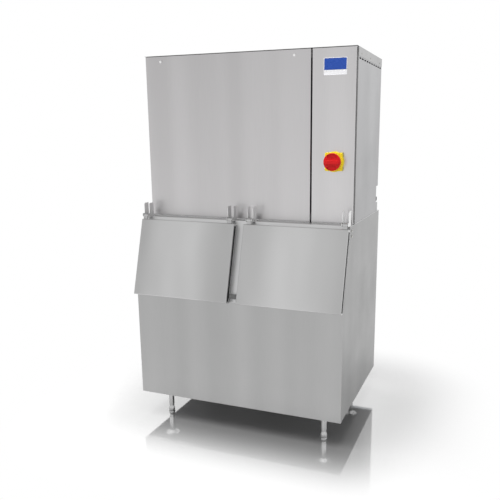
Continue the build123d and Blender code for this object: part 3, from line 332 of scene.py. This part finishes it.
@dataclass(frozen=True)
class SpangledZinc:
    """Galvanised sheet with crystal spangles."""

    name: str
    colour: Colour
    spangle_scale: float = 90.0
    tones: Span = (0.93, 1.04)
    roughness: Span = (0.38, 0.56)
    relief: float = 0.05
    relief_height: float = 0.0005

    def make(self) -> bpy.types.Material:
        """Build the material.

        Returns:
            The new material.
        """
        nodes = Nodes(self.name)
        nodes.set(metallic=1.0)
        cells = nodes.cells(self.spangle_scale)
        tone = nodes.add("ShaderNodeSeparateColor")
        nodes.link(cells.outputs["Color"], tone.inputs["Color"])
        dark, light = (mixed(self.colour, factor) for factor in self.tones)
        nodes.feed("Base Color", nodes.ramp(tone.outputs[0], (0.0, 1.0), dark, light))
        rough = nodes.spread(tone.outputs[1], (0.0, 1.0), self.roughness, "LINEAR")
        nodes.feed("Roughness", rough)
        nodes.bump(cells.outputs["Distance"], self.relief, self.relief_height)
        return nodes.material


@dataclass(frozen=True)
class TurnedMetal:
    """Drawn, turned or plated metal with a fine haze of tarnish."""

    name: str
    colour: Colour
    tarnish: Colour
    roughness: float = 0.25
    patch_noise: Span = (26.0, 5.0)
    tone_span: Span = (0.35, 0.75)
    haze: Span = (-0.05, 0.12)
    grain_noise: Span = (400.0, 2.0)
    grain: float = 0.06
    grain_height: float = 0.0003

    def make(self) -> bpy.types.Material:
        """Build the material.

        Returns:
            The new material.
        """
        nodes = Nodes(self.name)
        nodes.set(metallic=1.0)
        patch = nodes.noise(*self.patch_noise)
        nodes.feed("Base Color", nodes.ramp(patch, self.tone_span, self.colour, self.tarnish))
        nodes.roughen(patch, self.roughness, self.haze)
        nodes.bump(nodes.noise(*self.grain_noise), self.grain, self.grain_height)
        return nodes.material


@dataclass(frozen=True)
class Moulded:
    """Moulded plastic or rubber with a fine skin texture and slight mottling."""

    name: str
    colour: Colour
    roughness: float = 0.42
    pitted: float = 0.12
    pit_height: float = 0.0004
    pit_noise: Span = (900.0, 2.0)
    mottle: float = 0.06
    mottle_noise: Span = (14.0, 4.0)
    tone_span: Span = (0.35, 0.68)
    haze: Span = (-0.04, 0.08)
    shine: float = 0.5
    cloudiness: float = 0.0

    def make(self) -> bpy.types.Material:
        """Build the material.

        Returns:
            The new material.
        """
        nodes = Nodes(self.name)
        nodes.shader.inputs["Specular IOR Level"].default_value = self.shine
        nodes.set(transmission_weight=self.cloudiness)
        patch = nodes.noise(*self.mottle_noise)
        dark, light = mixed(self.colour, 1 - self.mottle), mixed(self.colour, 1 + self.mottle)
        nodes.feed("Base Color", nodes.ramp(patch, self.tone_span, dark, light))
        nodes.roughen(patch, self.roughness, self.haze)
        nodes.bump(nodes.noise(*self.pit_noise), self.pitted, self.pit_height)
        return nodes.material


@dataclass(frozen=True)
class Foam:
    """Cut insulating foam with open cells."""

    name: str
    colour: Colour
    cell_scale: float = 320.0
    tone_span: Span = (0.1, 0.8)
    shade: float = 0.75
    roughness: float = 0.9
    relief: float = 0.4
    relief_height: float = 0.0015

    def make(self) -> bpy.types.Material:
        """Build the material.

        Returns:
            The new material.
        """
        nodes = Nodes(self.name)
        depth = nodes.cells(self.cell_scale).outputs["Distance"]
        # The hollows of the open cells are painted darker: painted shade in the cells.
        dark = mixed(self.colour, self.shade)
        nodes.feed("Base Color", nodes.ramp(depth, self.tone_span, dark, self.colour))
        nodes.set(roughness=self.roughness)
        nodes.bump(depth, self.relief, self.relief_height)
        return nodes.material


@dataclass(frozen=True)
class Enamel:
    """Sprayed enamel with a faint orange-peel skin and dust in it."""

    name: str
    colour: Colour
    roughness: float = 0.32
    dust_noise: Span = (38.0, 6.0)
    dust_lightness: float = 1.6
    tone_span: Span = (0.4, 0.8)
    haze: Span = (-0.03, 0.1)
    coat: float = 0.3
    peel_noise: Span = (180.0, 2.0)
    peel: float = 0.12
    peel_height: float = 0.0006

    def make(self) -> bpy.types.Material:
        """Build the material.

        Returns:
            The new material.
        """
        nodes = Nodes(self.name)
        dust = nodes.noise(*self.dust_noise)
        light = mixed(self.colour, self.dust_lightness)
        nodes.feed("Base Color", nodes.ramp(dust, self.tone_span, self.colour, light))
        nodes.roughen(dust, self.roughness, self.haze)
        nodes.set(coat_weight=self.coat)
        nodes.bump(nodes.noise(*self.peel_noise), self.peel, self.peel_height)
        return nodes.material


class Finish(Enum):
    """Every finish on the machine."""

    PANEL = BrushedSteel("head_panel_steel", (0.555, 0.545, 0.55))
    SWITCH_PANEL = BrushedSteel("switch_panel_steel", (0.61, 0.60, 0.605))
    # Painted darker than the front steel, and darker towards the foot by its painted sheen: painted
    # shade on the head's sides.
    SIDE = BrushedSteel(
        "side_panel_steel",
        (0.368, 0.368, 0.375),
        painted_sheen=0.10,
        sheen_axis="Z",
        sheen_centre=2.08,
        sheen_pitch=1.76,
    )
    # Painted darker than the front steel, and darker towards the foot by its painted sheen: painted
    # shade on the bin's sides.
    BIN_SIDE = BrushedSteel(
        "bin_side_steel",
        (0.275, 0.275, 0.275),
        painted_sheen=0.085,
        sheen_axis="Z",
        sheen_centre=1.19,
        sheen_pitch=2.08,
    )
    # Its painted sheen lays painted reflections as soft light and dark bands across each door.
    DOOR = BrushedSteel("door_steel", (0.575, 0.575, 0.575), painted_sheen=0.13)
    # Painted darker than the head's steel: painted shade for the dim floor near the machine that the
    # bin front reflects.
    BIN = BrushedSteel("bin_steel", (0.41, 0.41, 0.41))
    FRAME = BrushedSteel("door_frame_steel", (0.70, 0.70, 0.70), roughness=0.42, grain=Grain.ACROSS)
    COVER = BrushedSteel("top_cover_steel", (0.42, 0.42, 0.42), grain=Grain.ACROSS)
    BRACKET = BrushedSteel("bracket_steel", (0.80, 0.80, 0.80), roughness=0.42)
    INNER = BrushedSteel("inner_steel", (0.42, 0.42, 0.43), roughness=0.45, contrast=0.1)
    # Painted near-black: painted shade under the bin, which the glossy floor also shows in its
    # reflection.
    UNDER = BrushedSteel("underside_steel", (0.055, 0.055, 0.057), roughness=0.5, contrast=0.1)
    LEG = BrushedSteel("leg_steel", (0.58, 0.58, 0.58), roughness=0.3)
    ZINC = SpangledZinc("zinc_sheet", (0.60, 0.62, 0.64))
    PLATED = TurnedMetal("plated_steel", (0.62, 0.62, 0.60), (0.45, 0.44, 0.42))
    POLISHED = TurnedMetal("polished_steel", (0.93, 0.93, 0.93), (0.86, 0.86, 0.86), roughness=0.16)
    NICKEL = TurnedMetal("nickel_plating", (0.70, 0.69, 0.66), (0.60, 0.59, 0.56), roughness=0.22)
    BRASS = TurnedMetal("brass", (0.72, 0.55, 0.26), (0.50, 0.36, 0.16), roughness=0.28)
    COPPER = TurnedMetal("copper_tube", (0.78, 0.42, 0.27), (0.48, 0.24, 0.15), roughness=0.26)
    LINER = Moulded("liner_plastic", (0.78, 0.79, 0.79), roughness=0.35, pitted=0.05, mottle=0.02)
    FOAM = Foam("insulation_foam", (0.80, 0.72, 0.50))
    # Near-black strips on the doors' upright edges, as painted shade.
    RUBBER = Moulded("black_rubber", (0.035, 0.035, 0.036), roughness=0.75, pitted=0.3, shine=0.2)
    SEAL = Moulded("grey_seal", (0.55, 0.56, 0.56), roughness=0.7, pitted=0.2, shine=0.25)
    # Dark grey strips beside the head's corners, as painted shade in the gaps there.
    CORNER = Moulded("corner_rubber", (0.27, 0.27, 0.27), roughness=0.75, pitted=0.3, shine=0.2)
    # Light grey sponge under the front panels: partly a real gap seal, partly painted light over the
    # gap's shade.
    SPONGE = Moulded("grey_sponge", (0.74, 0.74, 0.74), roughness=0.7, pitted=0.3, shine=0.25)
    BUMPER = Moulded("grey_rubber", (0.13, 0.13, 0.13), roughness=0.75, pitted=0.3, shine=0.2)
    BLACK = Moulded("black_plastic", (0.022, 0.022, 0.024), roughness=0.45, shine=0.2)
    RED = Moulded("red_plastic", (0.60, 0.010, 0.012), roughness=0.34, pitted=0.05, shine=0.22)
    YELLOW = Moulded("yellow_plastic", (0.93, 0.74, 0.03), roughness=0.38, pitted=0.06, shine=0.25)
    BADGE = Moulded("badge_white", (0.78, 0.78, 0.80), roughness=0.3, pitted=0.03, mottle=0.02)
    BLUE = Moulded("badge_blue", (0.022, 0.070, 0.34), roughness=0.25, pitted=0.03, shine=0.25)
    CLEAR = Moulded("clear_plastic", (0.80, 0.84, 0.86), roughness=0.4, mottle=0.02, cloudiness=0.6)
    GREY = Moulded("grey_plastic", (0.30, 0.32, 0.34), roughness=0.5)
    ENAMEL = Enamel("black_enamel", (0.02, 0.02, 0.022))
    BOARD = Moulded("green_lacquer", (0.02, 0.17, 0.07), roughness=0.35)


MADE: dict[Finish, bpy.types.Material] = {}


def finish(choice: Finish) -> bpy.types.Material:
    """The material of a finish, made the first time that it is asked for.

    Args:
        choice: The finish.

    Returns:
        Its material.
    """
    if choice not in MADE:
        MADE[choice] = choice.value.make()
    return MADE[choice]


def dress(choice: Finish, *nodes: str) -> None:
    """Give the named nodes of the frame a finish.

    Args:
        choice: The finish.
        nodes: The nodes' names.
    """
    for name in nodes:
        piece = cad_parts[name]
        for slot in piece.material_slots:
            slot.link = "OBJECT"
            slot.material = finish(choice)
        LOG.info("%s dressed in %s", name, choice.value.name)


def make_object(name: str, mesh: bmesh.types.BMesh, choice: Finish) -> bpy.types.Object:
    """Turn a mesh under construction into an object with a finish.

    Args:
        name: The object's name.
        mesh: Its mesh, in metres in the machine's frame.
        choice: Its finish.

    Returns:
        The new object.
    """
    bmesh.ops.recalc_face_normals(mesh, faces=mesh.faces)
    data = bpy.data.meshes.new(name)
    mesh.to_mesh(data)
    mesh.free()
    data.materials.append(finish(choice))
    piece = bpy.data.objects.new(name, data)
    bpy.context.collection.objects.link(piece)
    LOG.info("%s built in %s", name, choice.value.name)
    return piece


def add_piece(name: str, mesh: bmesh.types.BMesh, choice: Finish, body: str) -> None:
    """Turn a mesh under construction into a piece that rides on a body.

    Args:
        name: The piece's name.
        mesh: Its mesh, in metres in the machine's frame.
        choice: Its finish.
        body: The body that it moves with.
    """
    piece = make_object(name, mesh, choice)
    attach(piece, body)


def turned(
    profile: Sequence[Span], place: Matrix, mesh: bmesh.types.BMesh, steps: int = 24
) -> None:
    """Add a turned solid to a mesh.

    Args:
        profile: (radius, height) pairs from the bottom of the axis to its top.
        place: Where the axis's foot is, with Z along the axis.
        mesh: The mesh that it is added to.
        steps: Points round each ring.
    """
    rings = []
    for radius, height in profile:
        if not radius:
            rings.append([mesh.verts.new(place @ Vector((0.0, 0.0, height)))])
            continue
        turn = [math.tau * k / steps for k in range(steps)]
        points = [Vector((radius * math.cos(a), radius * math.sin(a), height)) for a in turn]
        rings.append([mesh.verts.new(place @ point) for point in points])
    for low, high in zip(rings, rings[1:]):
        for k in range(steps):
            after = (k + 1) % steps
            lower = [low[k % len(low)], low[after % len(low)]]
            upper = [high[after % len(high)], high[k % len(high)]]
            unique = list(dict.fromkeys(lower + upper))
            if len(unique) > 2:
                mesh.faces.new(unique)


def bar(
    mesh: bmesh.types.BMesh,
    x_span: Span,
    y_span: Span,
    z_span: Span,
    place: Matrix = Matrix.Identity(4),
) -> None:
    """Add a straight bar to a mesh, for its edges to be rounded afterwards.

    Args:
        mesh: The mesh that it is added to.
        x_span: Its ends along X.
        y_span: Its ends along Y.
        z_span: Its ends along Z.
        place: A placement of the whole bar.
    """
    points = [Vector((x, y, z)) for z in z_span for y in y_span for x in x_span]
    corners = [mesh.verts.new(place @ point) for point in points]
    ends = ((0, 2, 3, 1), (4, 5, 7, 6))
    sides = ((0, 1, 5, 4), (2, 6, 7, 3), (0, 4, 6, 2), (1, 3, 7, 5))
    for loop in ends + sides:
        mesh.faces.new([corners[k] for k in loop])


def round_edges(mesh: bmesh.types.BMesh, radius: float) -> None:
    """Round all edges of a mesh."""
    bmesh.ops.bevel(mesh, geom=mesh.edges[:], offset=radius, segments=EDGE_STEPS, affect="EDGES")


def facing(direction: Point, foot: Point) -> Matrix:
    """A placement with its Z along a direction and its origin at a foot point."""
    turn = Vector(direction).to_track_quat("Z", "Y").to_matrix().to_4x4()
    return Matrix.Translation(foot) @ turn


@dataclass
class Fastener:
    """A domed screw or bolt head with a round recess, on a washer if one is given.

    The dome's pairs are shares of the radius and the height. The crown is how far the washer rises
    from its rim to under the head.
    """

    radius: float
    height: float
    washer: float = 0.0
    washer_height: float = 0.0012
    crown: float = 0.0002
    crown_share: float = 0.9
    dome: Sequence[Span] = ((1, 0), (1, 0.45), (0.82, 0.85), (0.4, 1), (0.3, 0.7), (0, 0.7))

    def add(self, mesh: bmesh.types.BMesh, foot: Point, direction: Point) -> None:
        """Add one fastener to a mesh.

        Args:
            mesh: The mesh.
            foot: Where it meets the surface.
            direction: The way it points out of the surface.
        """
        place = facing(direction, foot)
        if self.washer:
            top = self.washer_height + self.crown
            rim = [(self.washer, 0), (self.washer, self.washer_height)]
            inner = [(self.radius * self.crown_share, top), (0, top)]
            turned([(0, 0), *rim, *inner], place, mesh)
            place = place @ Matrix.Translation((0, 0, self.washer_height))
        dome = [(self.radius * wide, self.height * high) for wide, high in self.dome]
        turned([(0, 0), *dome], place, mesh)


@dataclass
class HeadCasing:
    """The head's panels, cover and badge, with dark strips of painted shade beside its corners, light
    sponge strips under its front panels, and small screws.

    A pair of ends is how far the first and the last screw stand from the two ends of a sheet.
    """

    screw: Fastener = field(default_factory=lambda: Fastener(radius=0.0045, height=0.0022))
    badge_inset: float = 0.0027
    badge_recess: float = 0.0008
    band_share: float = 0.30
    field_depth: float = 0.0006
    field_rounding: float = 0.00024
    shade_strip_depth: float = 0.013
    shade_strip_thickness: float = 0.0032
    shade_strip_margin: float = 0.004
    shade_strip_setback: float = 0.0005
    shade_strip_rounding: float = 0.0008
    foot_play: float = 0.0003
    foot_inset: float = 0.0008
    foot_depth: float = 0.012
    screw_drop: float = 0.030
    cover_ends: Span = (0.10, 0.06)
    rear_screws: int = 4
    back_inset: float = 0.012
    back_ends: Span = (0.02, 0.06)

    def dress(self) -> None:
        """Give the casing's nodes their finishes."""
        dress(Finish.PANEL, "front_panel_wide")
        dress(Finish.SWITCH_PANEL, "front_panel_narrow")
        dress(Finish.SIDE, "head_side_left", "head_side_right")
        dress(Finish.COVER, "head_top_cover")
        dress(Finish.ZINC, "head_back_panel")
        dress(Finish.INNER, "head_base_pan", "bulkhead")
        dress(Finish.BADGE, "badge_plate")
        dress(Finish.POLISHED, "captive_screws")

    def corner_shade_strips(self) -> None:
        """Lay dark strips in the gaps beside the head's outer corners, as painted shade in those gaps.
        """
        corners = (("front_panel_narrow", "cabinet", 1), ("front_panel_wide", "front_panel", -1))
        for node, body, side in corners:
            low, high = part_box(node)
            edge = high[0] if side > 0 else low[0]
            reach = edge + side * self.shade_strip_thickness
            mesh = bmesh.new()
            bar(
                mesh,
                (min(edge, reach), max(edge, reach)),
                (high[1] - self.shade_strip_depth, high[1] - self.shade_strip_setback),
                (low[2] + self.shade_strip_margin, high[2] - self.shade_strip_margin),
            )
            round_edges(mesh, self.shade_strip_rounding)
            add_piece(f"corner_shade_strip_{body}", mesh, Finish.CORNER, body)

    def foot_seals(self) -> None:
        """Lay light sponge strips that close the gap under the front panels, painting light over its
        shade.
        """
        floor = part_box("head_base_pan")[0][2] + self.foot_play
        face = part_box("front_panel_wide")[0][1]
        for node in ("front_panel_wide", "front_panel_narrow"):
            low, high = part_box(node)
            mesh = bmesh.new()
            bar(
                mesh,
                (low[0] + self.foot_inset, high[0] - self.foot_inset),
                (face + self.foot_inset, face + self.foot_depth),
                (floor, low[2] - self.foot_play),
            )
            round_edges(mesh, self.foot_play)
            if node == "front_panel_narrow":
                add_piece("foot_seal_narrow", mesh, Finish.SPONGE, "cabinet")
                continue
            piece = make_object("foot_seal_wide", mesh, Finish.SPONGE)
            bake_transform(piece)

    def badge_field(self) -> None:
        """Lay the plain blue field over the upper part of the badge's face."""
        low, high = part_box("badge_plate")
        inset = self.badge_inset
        face = low[1] + self.badge_recess
        foot = low[2] + (high[2] - low[2]) * self.band_share
        mesh = bmesh.new()
        bar(
            mesh,
            (low[0] + inset, high[0] - inset),
            (face - self.field_depth, face + self.field_depth),
            (foot, high[2] - inset),
        )
        round_edges(mesh, self.field_rounding)
        add_piece("badge_field", mesh, Finish.BLUE, "cabinet")

    def cover_screws(self) -> None:
        """Put the cover's screws along its flanges and the back panel's down its sides."""
        low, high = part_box("head_top_cover")
        mesh = bmesh.new()
        z = high[2] - self.screw_drop
        first, last = low[1] + self.cover_ends[0], high[1] - self.cover_ends[1]
        for y in (first, (low[1] + high[1]) / 2, last):
            self.screw.add(mesh, (high[0], y, z), (1, 0, 0))
            self.screw.add(mesh, (low[0], y, z), (-1, 0, 0))
        for k in range(self.rear_screws):
            x = low[0] + (high[0] - low[0]) * (k + 0.5) / self.rear_screws
            self.screw.add(mesh, (x, high[1], z), (0, 1, 0))
        low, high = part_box("head_back_panel")
        first, last = low[2] + self.back_ends[0], high[2] - self.back_ends[1]
        for z in (first, (low[2] + high[2]) / 2, last):
            for x in (low[0] + self.back_inset, high[0] - self.back_inset):
                self.screw.add(mesh, (x, high[1], z), (0, 1, 0))
        add_piece("cover_screws", mesh, Finish.PLATED, "cabinet")

    def build(self) -> None:
        """Build the added pieces and dress the nodes."""
        self.dress()
        self.badge_field()
        self.corner_shade_strips()
        self.foot_seals()
        self.cover_screws()
        LOG.info("head casing dressed")


@dataclass
class StorageBin:
    """The bin, its doors, hinges and legs.

    The top of the doors' slope is given by its Y and Z, and the run by how far the slope comes
    forward and drops. A strip lies along the slope between two distances from that top, and across
    the door's edge between two heights above the slope.
    """

    bolt: Fastener = field(default_factory=lambda: Fastener(radius=0.0055, height=0.004, washer=0.009))
    bolt_y: float = -0.252
    bolt_drops: Span = (0.025, 0.055)
    slope_top: Span = (-0.282, 1.190)
    slope_run: Span = (0.12825, 0.430)
    strip_along: Span = (0.034, 0.448)
    strip_across: Span = (0.014, 0.032)
    strip_height: float = 0.0008
    strip_rounding: float = 0.00032

    def dress(self) -> None:
        """Give the bin's nodes their finishes."""
        dress(Finish.BIN, "bin_front_panel")
        dress(Finish.BIN_SIDE, "bin_side_left", "bin_side_right")
        dress(Finish.FRAME, "bin_hood")
        dress(Finish.DOOR, "left_door_skin", "right_door_skin")
        dress(Finish.LINER, "bin_liner", "left_door_liner", "right_door_liner")
        dress(Finish.SEAL, "left_door_gasket", "right_door_gasket")
        dress(Finish.FOAM, "insulation_boards")
        dress(Finish.ZINC, "bin_back_panel")
        dress(Finish.UNDER, "bin_bottom_pan")
        dress(Finish.GREY, "bin_drain")
        dress(Finish.BUMPER, "centre_bumper")
        dress(Finish.BRACKET, "hinge_brackets")
        dress(Finish.PLATED, "hinge_pins")
        dress(Finish.LEG, "legs")
        for end in ("front", "back"):
            dress(Finish.LEG, f"foot_{end}_left", f"foot_{end}_right")

    def edge_shade_strips(self) -> None:
        """Lay a dark strip along the two upright edges of each door, as painted shade on its edges."""
        run, drop = self.slope_run
        outwards = Vector((0.0, -drop, run)).normalized()
        upwards = Vector((0.0, run, drop)).normalized()
        turn = Matrix((Vector((1.0, 0.0, 0.0)), outwards, upwards)).transposed().to_4x4()
        place = Matrix.Translation((0.0, *self.slope_top)) @ turn
        down = (-self.strip_along[1], -self.strip_along[0])
        for side in ("left", "right"):
            low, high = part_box(f"{side}_door_skin")
            mesh = bmesh.new()
            bar(mesh, (low[0] - self.strip_height, low[0]), self.strip_across, down, place)
            bar(mesh, (high[0], high[0] + self.strip_height), self.strip_across, down, place)
            round_edges(mesh, self.strip_rounding)
            name, body = f"{side}_door_edge_shade_strips", f"{side}_door"
            add_piece(name, mesh, Finish.RUBBER, body)

    def side_bolts(self) -> None:
        """Put the two bolts of each outer hinge through the bin's sides."""
        _, (side, _, top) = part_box("bin_side_right")
        mesh = bmesh.new()
        for drop in self.bolt_drops:
            self.bolt.add(mesh, (side, self.bolt_y, top - drop), (1, 0, 0))
            self.bolt.add(mesh, (-side, self.bolt_y, top - drop), (-1, 0, 0))
        add_piece("side_bolts", mesh, Finish.PLATED, "cabinet")

    def build(self) -> None:
        """Build the added pieces and dress the nodes."""
        self.dress()
        self.edge_shade_strips()
        self.side_bolts()
        LOG.info("storage bin dressed")


@dataclass
class Works:
    """What is inside the head, and the fittings at its back."""

    def build(self) -> None:
        """Dress the nodes."""
        dress(Finish.NICKEL, "evaporator_left", "evaporator_right")
        dress(Finish.CLEAR, "water_curtain_left", "water_curtain_right", "float_arm")
        dress(Finish.GREY, "water_tubes", "water_pump")
        dress(Finish.LINER, "water_trough")
        dress(Finish.BLACK, "pump_impeller", "contactor", "isolator_switch", "cable_gland")
        dress(Finish.BRASS, "float_valve", "dump_valve", "expansion_valves", "hot_gas_valve")
        dress(Finish.BRASS, "pipe_fittings")
        dress(Finish.COPPER, "refrigerant_pipes", "filter_drier")
        dress(Finish.ENAMEL, "compressor", "condenser")
        dress(Finish.ZINC, "control_box")
        dress(Finish.BOARD, "control_board")
        dress(Finish.PLATED, "toggle_lever")
        LOG.info("works dressed")


@dataclass
class Isolator:
    """The red and yellow switch on the narrow panel."""

    def build(self) -> None:
        """Dress the nodes."""
        dress(Finish.YELLOW, "isolator_plate")
        dress(Finish.RED, "isolator_knob")
        dress(Finish.PLATED, "isolator_shaft")
        LOG.info("isolator dressed")


@dataclass
class Studio:
    """The pale floor, the soft light and the camera at the photograph's place.

    Angles are in degrees. Each fall, band and span of the surroundings is a stretch of one
    component of a direction: Z for the zenith, horizon and panel, Y for the front, X for the left.
    """

    image_size: float = 500.0
    focal_pixels: float = 597.8
    principal_point: Span = (277.8, 263.1)
    camera_place: Point = (1.325, -3.260, 1.655)
    camera_reach: float = 100.0
    yaw: float = 20.55
    pitch: float = 12.18
    roll: float = -0.2
    sensor: float = 36.0
    floor_size: float = 60.0
    floor_colour: Colour = (0.97, 0.97, 0.97)
    floor_roughness: float = 0.6
    gloss_roughness: float = 0.06
    polish: float = 0.76
    far_polish: float = 0.076
    polish_reach: float = 0.52
    white_span: Span = (0.16, 0.80)
    day_share: float = 0.45
    zenith_share: float = 0.62
    zenith_fall: Span = (0.40, 0.75)
    horizon_band: Span = (-0.06, 0.20)
    panel_band: Span = (0.22, 0.46)
    panel_share: float = 0.35
    front_span: Span = (-0.1, -0.8)
    front_dimming: float = 0.32
    left_span: Span = (0.0, -0.7)
    right_share: float = 0.5
    lamp_place: Point = (-0.5, -1.0, 4.6)
    lamp_target: Point = (0.0, -0.4, 0.0)
    lamp_size: float = 4.0
    lamp_power: float = 265.0

    def camera(self) -> None:
        """Set up the camera."""
        data = bpy.data.cameras.new("camera")
        middle = self.image_size / 2
        data.sensor_width = self.sensor
        data.lens = self.focal_pixels / self.image_size * self.sensor
        data.shift_x = (middle - self.principal_point[0]) / self.image_size
        data.shift_y = (self.principal_point[1] - middle) / self.image_size
        data.clip_end = self.camera_reach
        view = bpy.data.objects.new("camera", data)
        turn = Matrix.Rotation(math.radians(self.yaw), 4, "Z")
        turn = turn @ Matrix.Rotation(math.radians(90.0 - self.pitch), 4, "X")
        turn = turn @ Matrix.Rotation(math.radians(self.roll), 4, "Z")
        view.matrix_world = Matrix.Translation(self.camera_place) @ turn
        bpy.context.collection.objects.link(view)
        bpy.context.scene.camera = view

    def footprint_distance(self, nodes: Nodes) -> Socket:
        """How far a floor point lies outside the machine's outline.

        Args:
            nodes: The floor's material.

        Returns:
            The socket of the distance, in metres.
        """
        low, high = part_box("bin_bottom_pan")
        middle = ((low[0] + high[0]) / 2, (low[1] + high[1]) / 2, 0.0)
        half = ((high[0] - low[0]) / 2, (high[1] - low[1]) / 2, 0.0)
        folded = nodes.vector("ABSOLUTE", nodes.vector("SUBTRACT", nodes.coordinates(), middle))
        beyond = nodes.vector("SUBTRACT", folded, half)
        outside = nodes.vector("MAXIMUM", beyond, (0.0, 0.0, 0.0))
        return nodes.combine("ShaderNodeVectorMath", "LENGTH", (outside,)).outputs["Value"]

    def floor_finish(self) -> bpy.types.Material:
        """The floor's finish: glossy near the machine, and as white as the backdrop far from it.

        Returns:
            The new material.
        """
        nodes = Nodes("floor_white")
        nodes.set(base_color=(*self.floor_colour, 1.0), roughness=self.floor_roughness)
        gloss = nodes.add("ShaderNodeBsdfGlossy")
        gloss.inputs["Roughness"].default_value = self.gloss_roughness
        distance = self.footprint_distance(nodes)
        shares = (self.polish, self.far_polish)
        polish = nodes.spread(distance, (0.0, self.polish_reach), shares)
        white = nodes.spread(distance, self.white_span, (0.0, 1.0))
        path = nodes.add("ShaderNodeLightPath")
        seen = nodes.math("SUBTRACT", 1.0, path.outputs["Is Diffuse Ray"])
        near, whole = nodes.add("ShaderNodeMixShader"), nodes.add("ShaderNodeMixShader")
        glow = nodes.add("ShaderNodeEmission")
        output = nodes.tree.nodes["Material Output"]
        nodes.link(polish, near.inputs["Fac"])
        nodes.link(nodes.shader.outputs[0], near.inputs[1])
        nodes.link(gloss.outputs[0], near.inputs[2])
        nodes.link(nodes.math("MULTIPLY", seen, white), whole.inputs["Fac"])
        nodes.link(near.outputs[0], whole.inputs[1])
        nodes.link(glow.outputs[0], whole.inputs[2])
        nodes.link(whole.outputs[0], output.inputs["Surface"])
        return nodes.material

    def floor(self) -> None:
        """Lay the white, slightly glossy floor."""
        half = self.floor_size / 2
        mesh = bmesh.new()
        corners = ((-half, -half), (half, -half), (half, half), (-half, half))
        mesh.faces.new([mesh.verts.new((x, y, 0.0)) for x, y in corners])
        data = bpy.data.meshes.new("floor")
        mesh.to_mesh(data)
        mesh.free()
        data.materials.append(self.floor_finish())
        floor = bpy.data.objects.new("floor", data)
        bpy.context.collection.objects.link(floor)

    def world(self) -> None:
        """Set the white surroundings.

        What the metal reflects and is lit by falls off to grey overhead and low in front of the
        machine. The camera itself sees them white.
        """
        world = bpy.data.worlds.new("studio")
        world.use_nodes = True
        bpy.context.scene.world = world
        nodes = Tree(world.node_tree)
        back = nodes.tree.nodes["Background"]
        back.inputs["Color"].default_value = WHITE
        place = nodes.add("ShaderNodeTexCoord")
        split = nodes.add("ShaderNodeSeparateXYZ")
        nodes.link(place.outputs["Generated"], split.inputs["Vector"])
        right, rear, rise = split.outputs
        height = nodes.spread(rise, self.zenith_fall, (1.0, self.zenith_share))
        above = nodes.spread(rise, self.horizon_band, (0.0, 1.0))
        below = nodes.spread(rise, self.panel_band, (1.0, self.panel_share))
        forward = nodes.spread(rear, self.front_span, (0.0, self.front_dimming))
        leftward = nodes.spread(right, self.left_span, (self.right_share, 1.0))
        band = nodes.math("MULTIPLY", above, below)
        dimming = nodes.math("MULTIPLY", band, nodes.math("MULTIPLY", forward, leftward))
        kept = nodes.math("MULTIPLY", height, nodes.math("SUBTRACT", 1.0, dimming))
        path = nodes.add("ShaderNodeLightPath")
        share = nodes.spread(path.outputs["Is Diffuse Ray"], (0.0, 1.0), (1.0, self.day_share))
        strength = nodes.math("MULTIPLY", kept, share)
        shown = nodes.math("MAXIMUM", strength, path.outputs["Is Camera Ray"])
        nodes.link(shown, back.inputs["Strength"])

    def softbox(self) -> None:
        """Hang one square softbox over the machine, which no reflection shows."""
        data = bpy.data.lights.new("overhead", "AREA")
        data.size = self.lamp_size
        data.energy = self.lamp_power
        lamp = bpy.data.objects.new("overhead", data)
        away = Vector(self.lamp_place) - Vector(self.lamp_target)
        lamp.rotation_euler = away.to_track_quat("Z", "Y").to_euler()
        lamp.location = self.lamp_place
        lamp.visible_glossy = False
        bpy.context.collection.objects.link(lamp)

    def build(self) -> None:
        """Build the floor, the lights and the camera."""
        self.floor()
        self.world()
        self.softbox()
        self.camera()
        bpy.context.scene.view_settings.view_transform = "Standard"
        LOG.info("studio built")


def main() -> None:
    """Build everything in order."""
    logging.basicConfig(level=logging.INFO)
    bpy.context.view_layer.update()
    for part in (HeadCasing(), StorageBin(), Works(), Isolator(), Studio()):
        part.build()


if __name__ == "__main__":
    main()
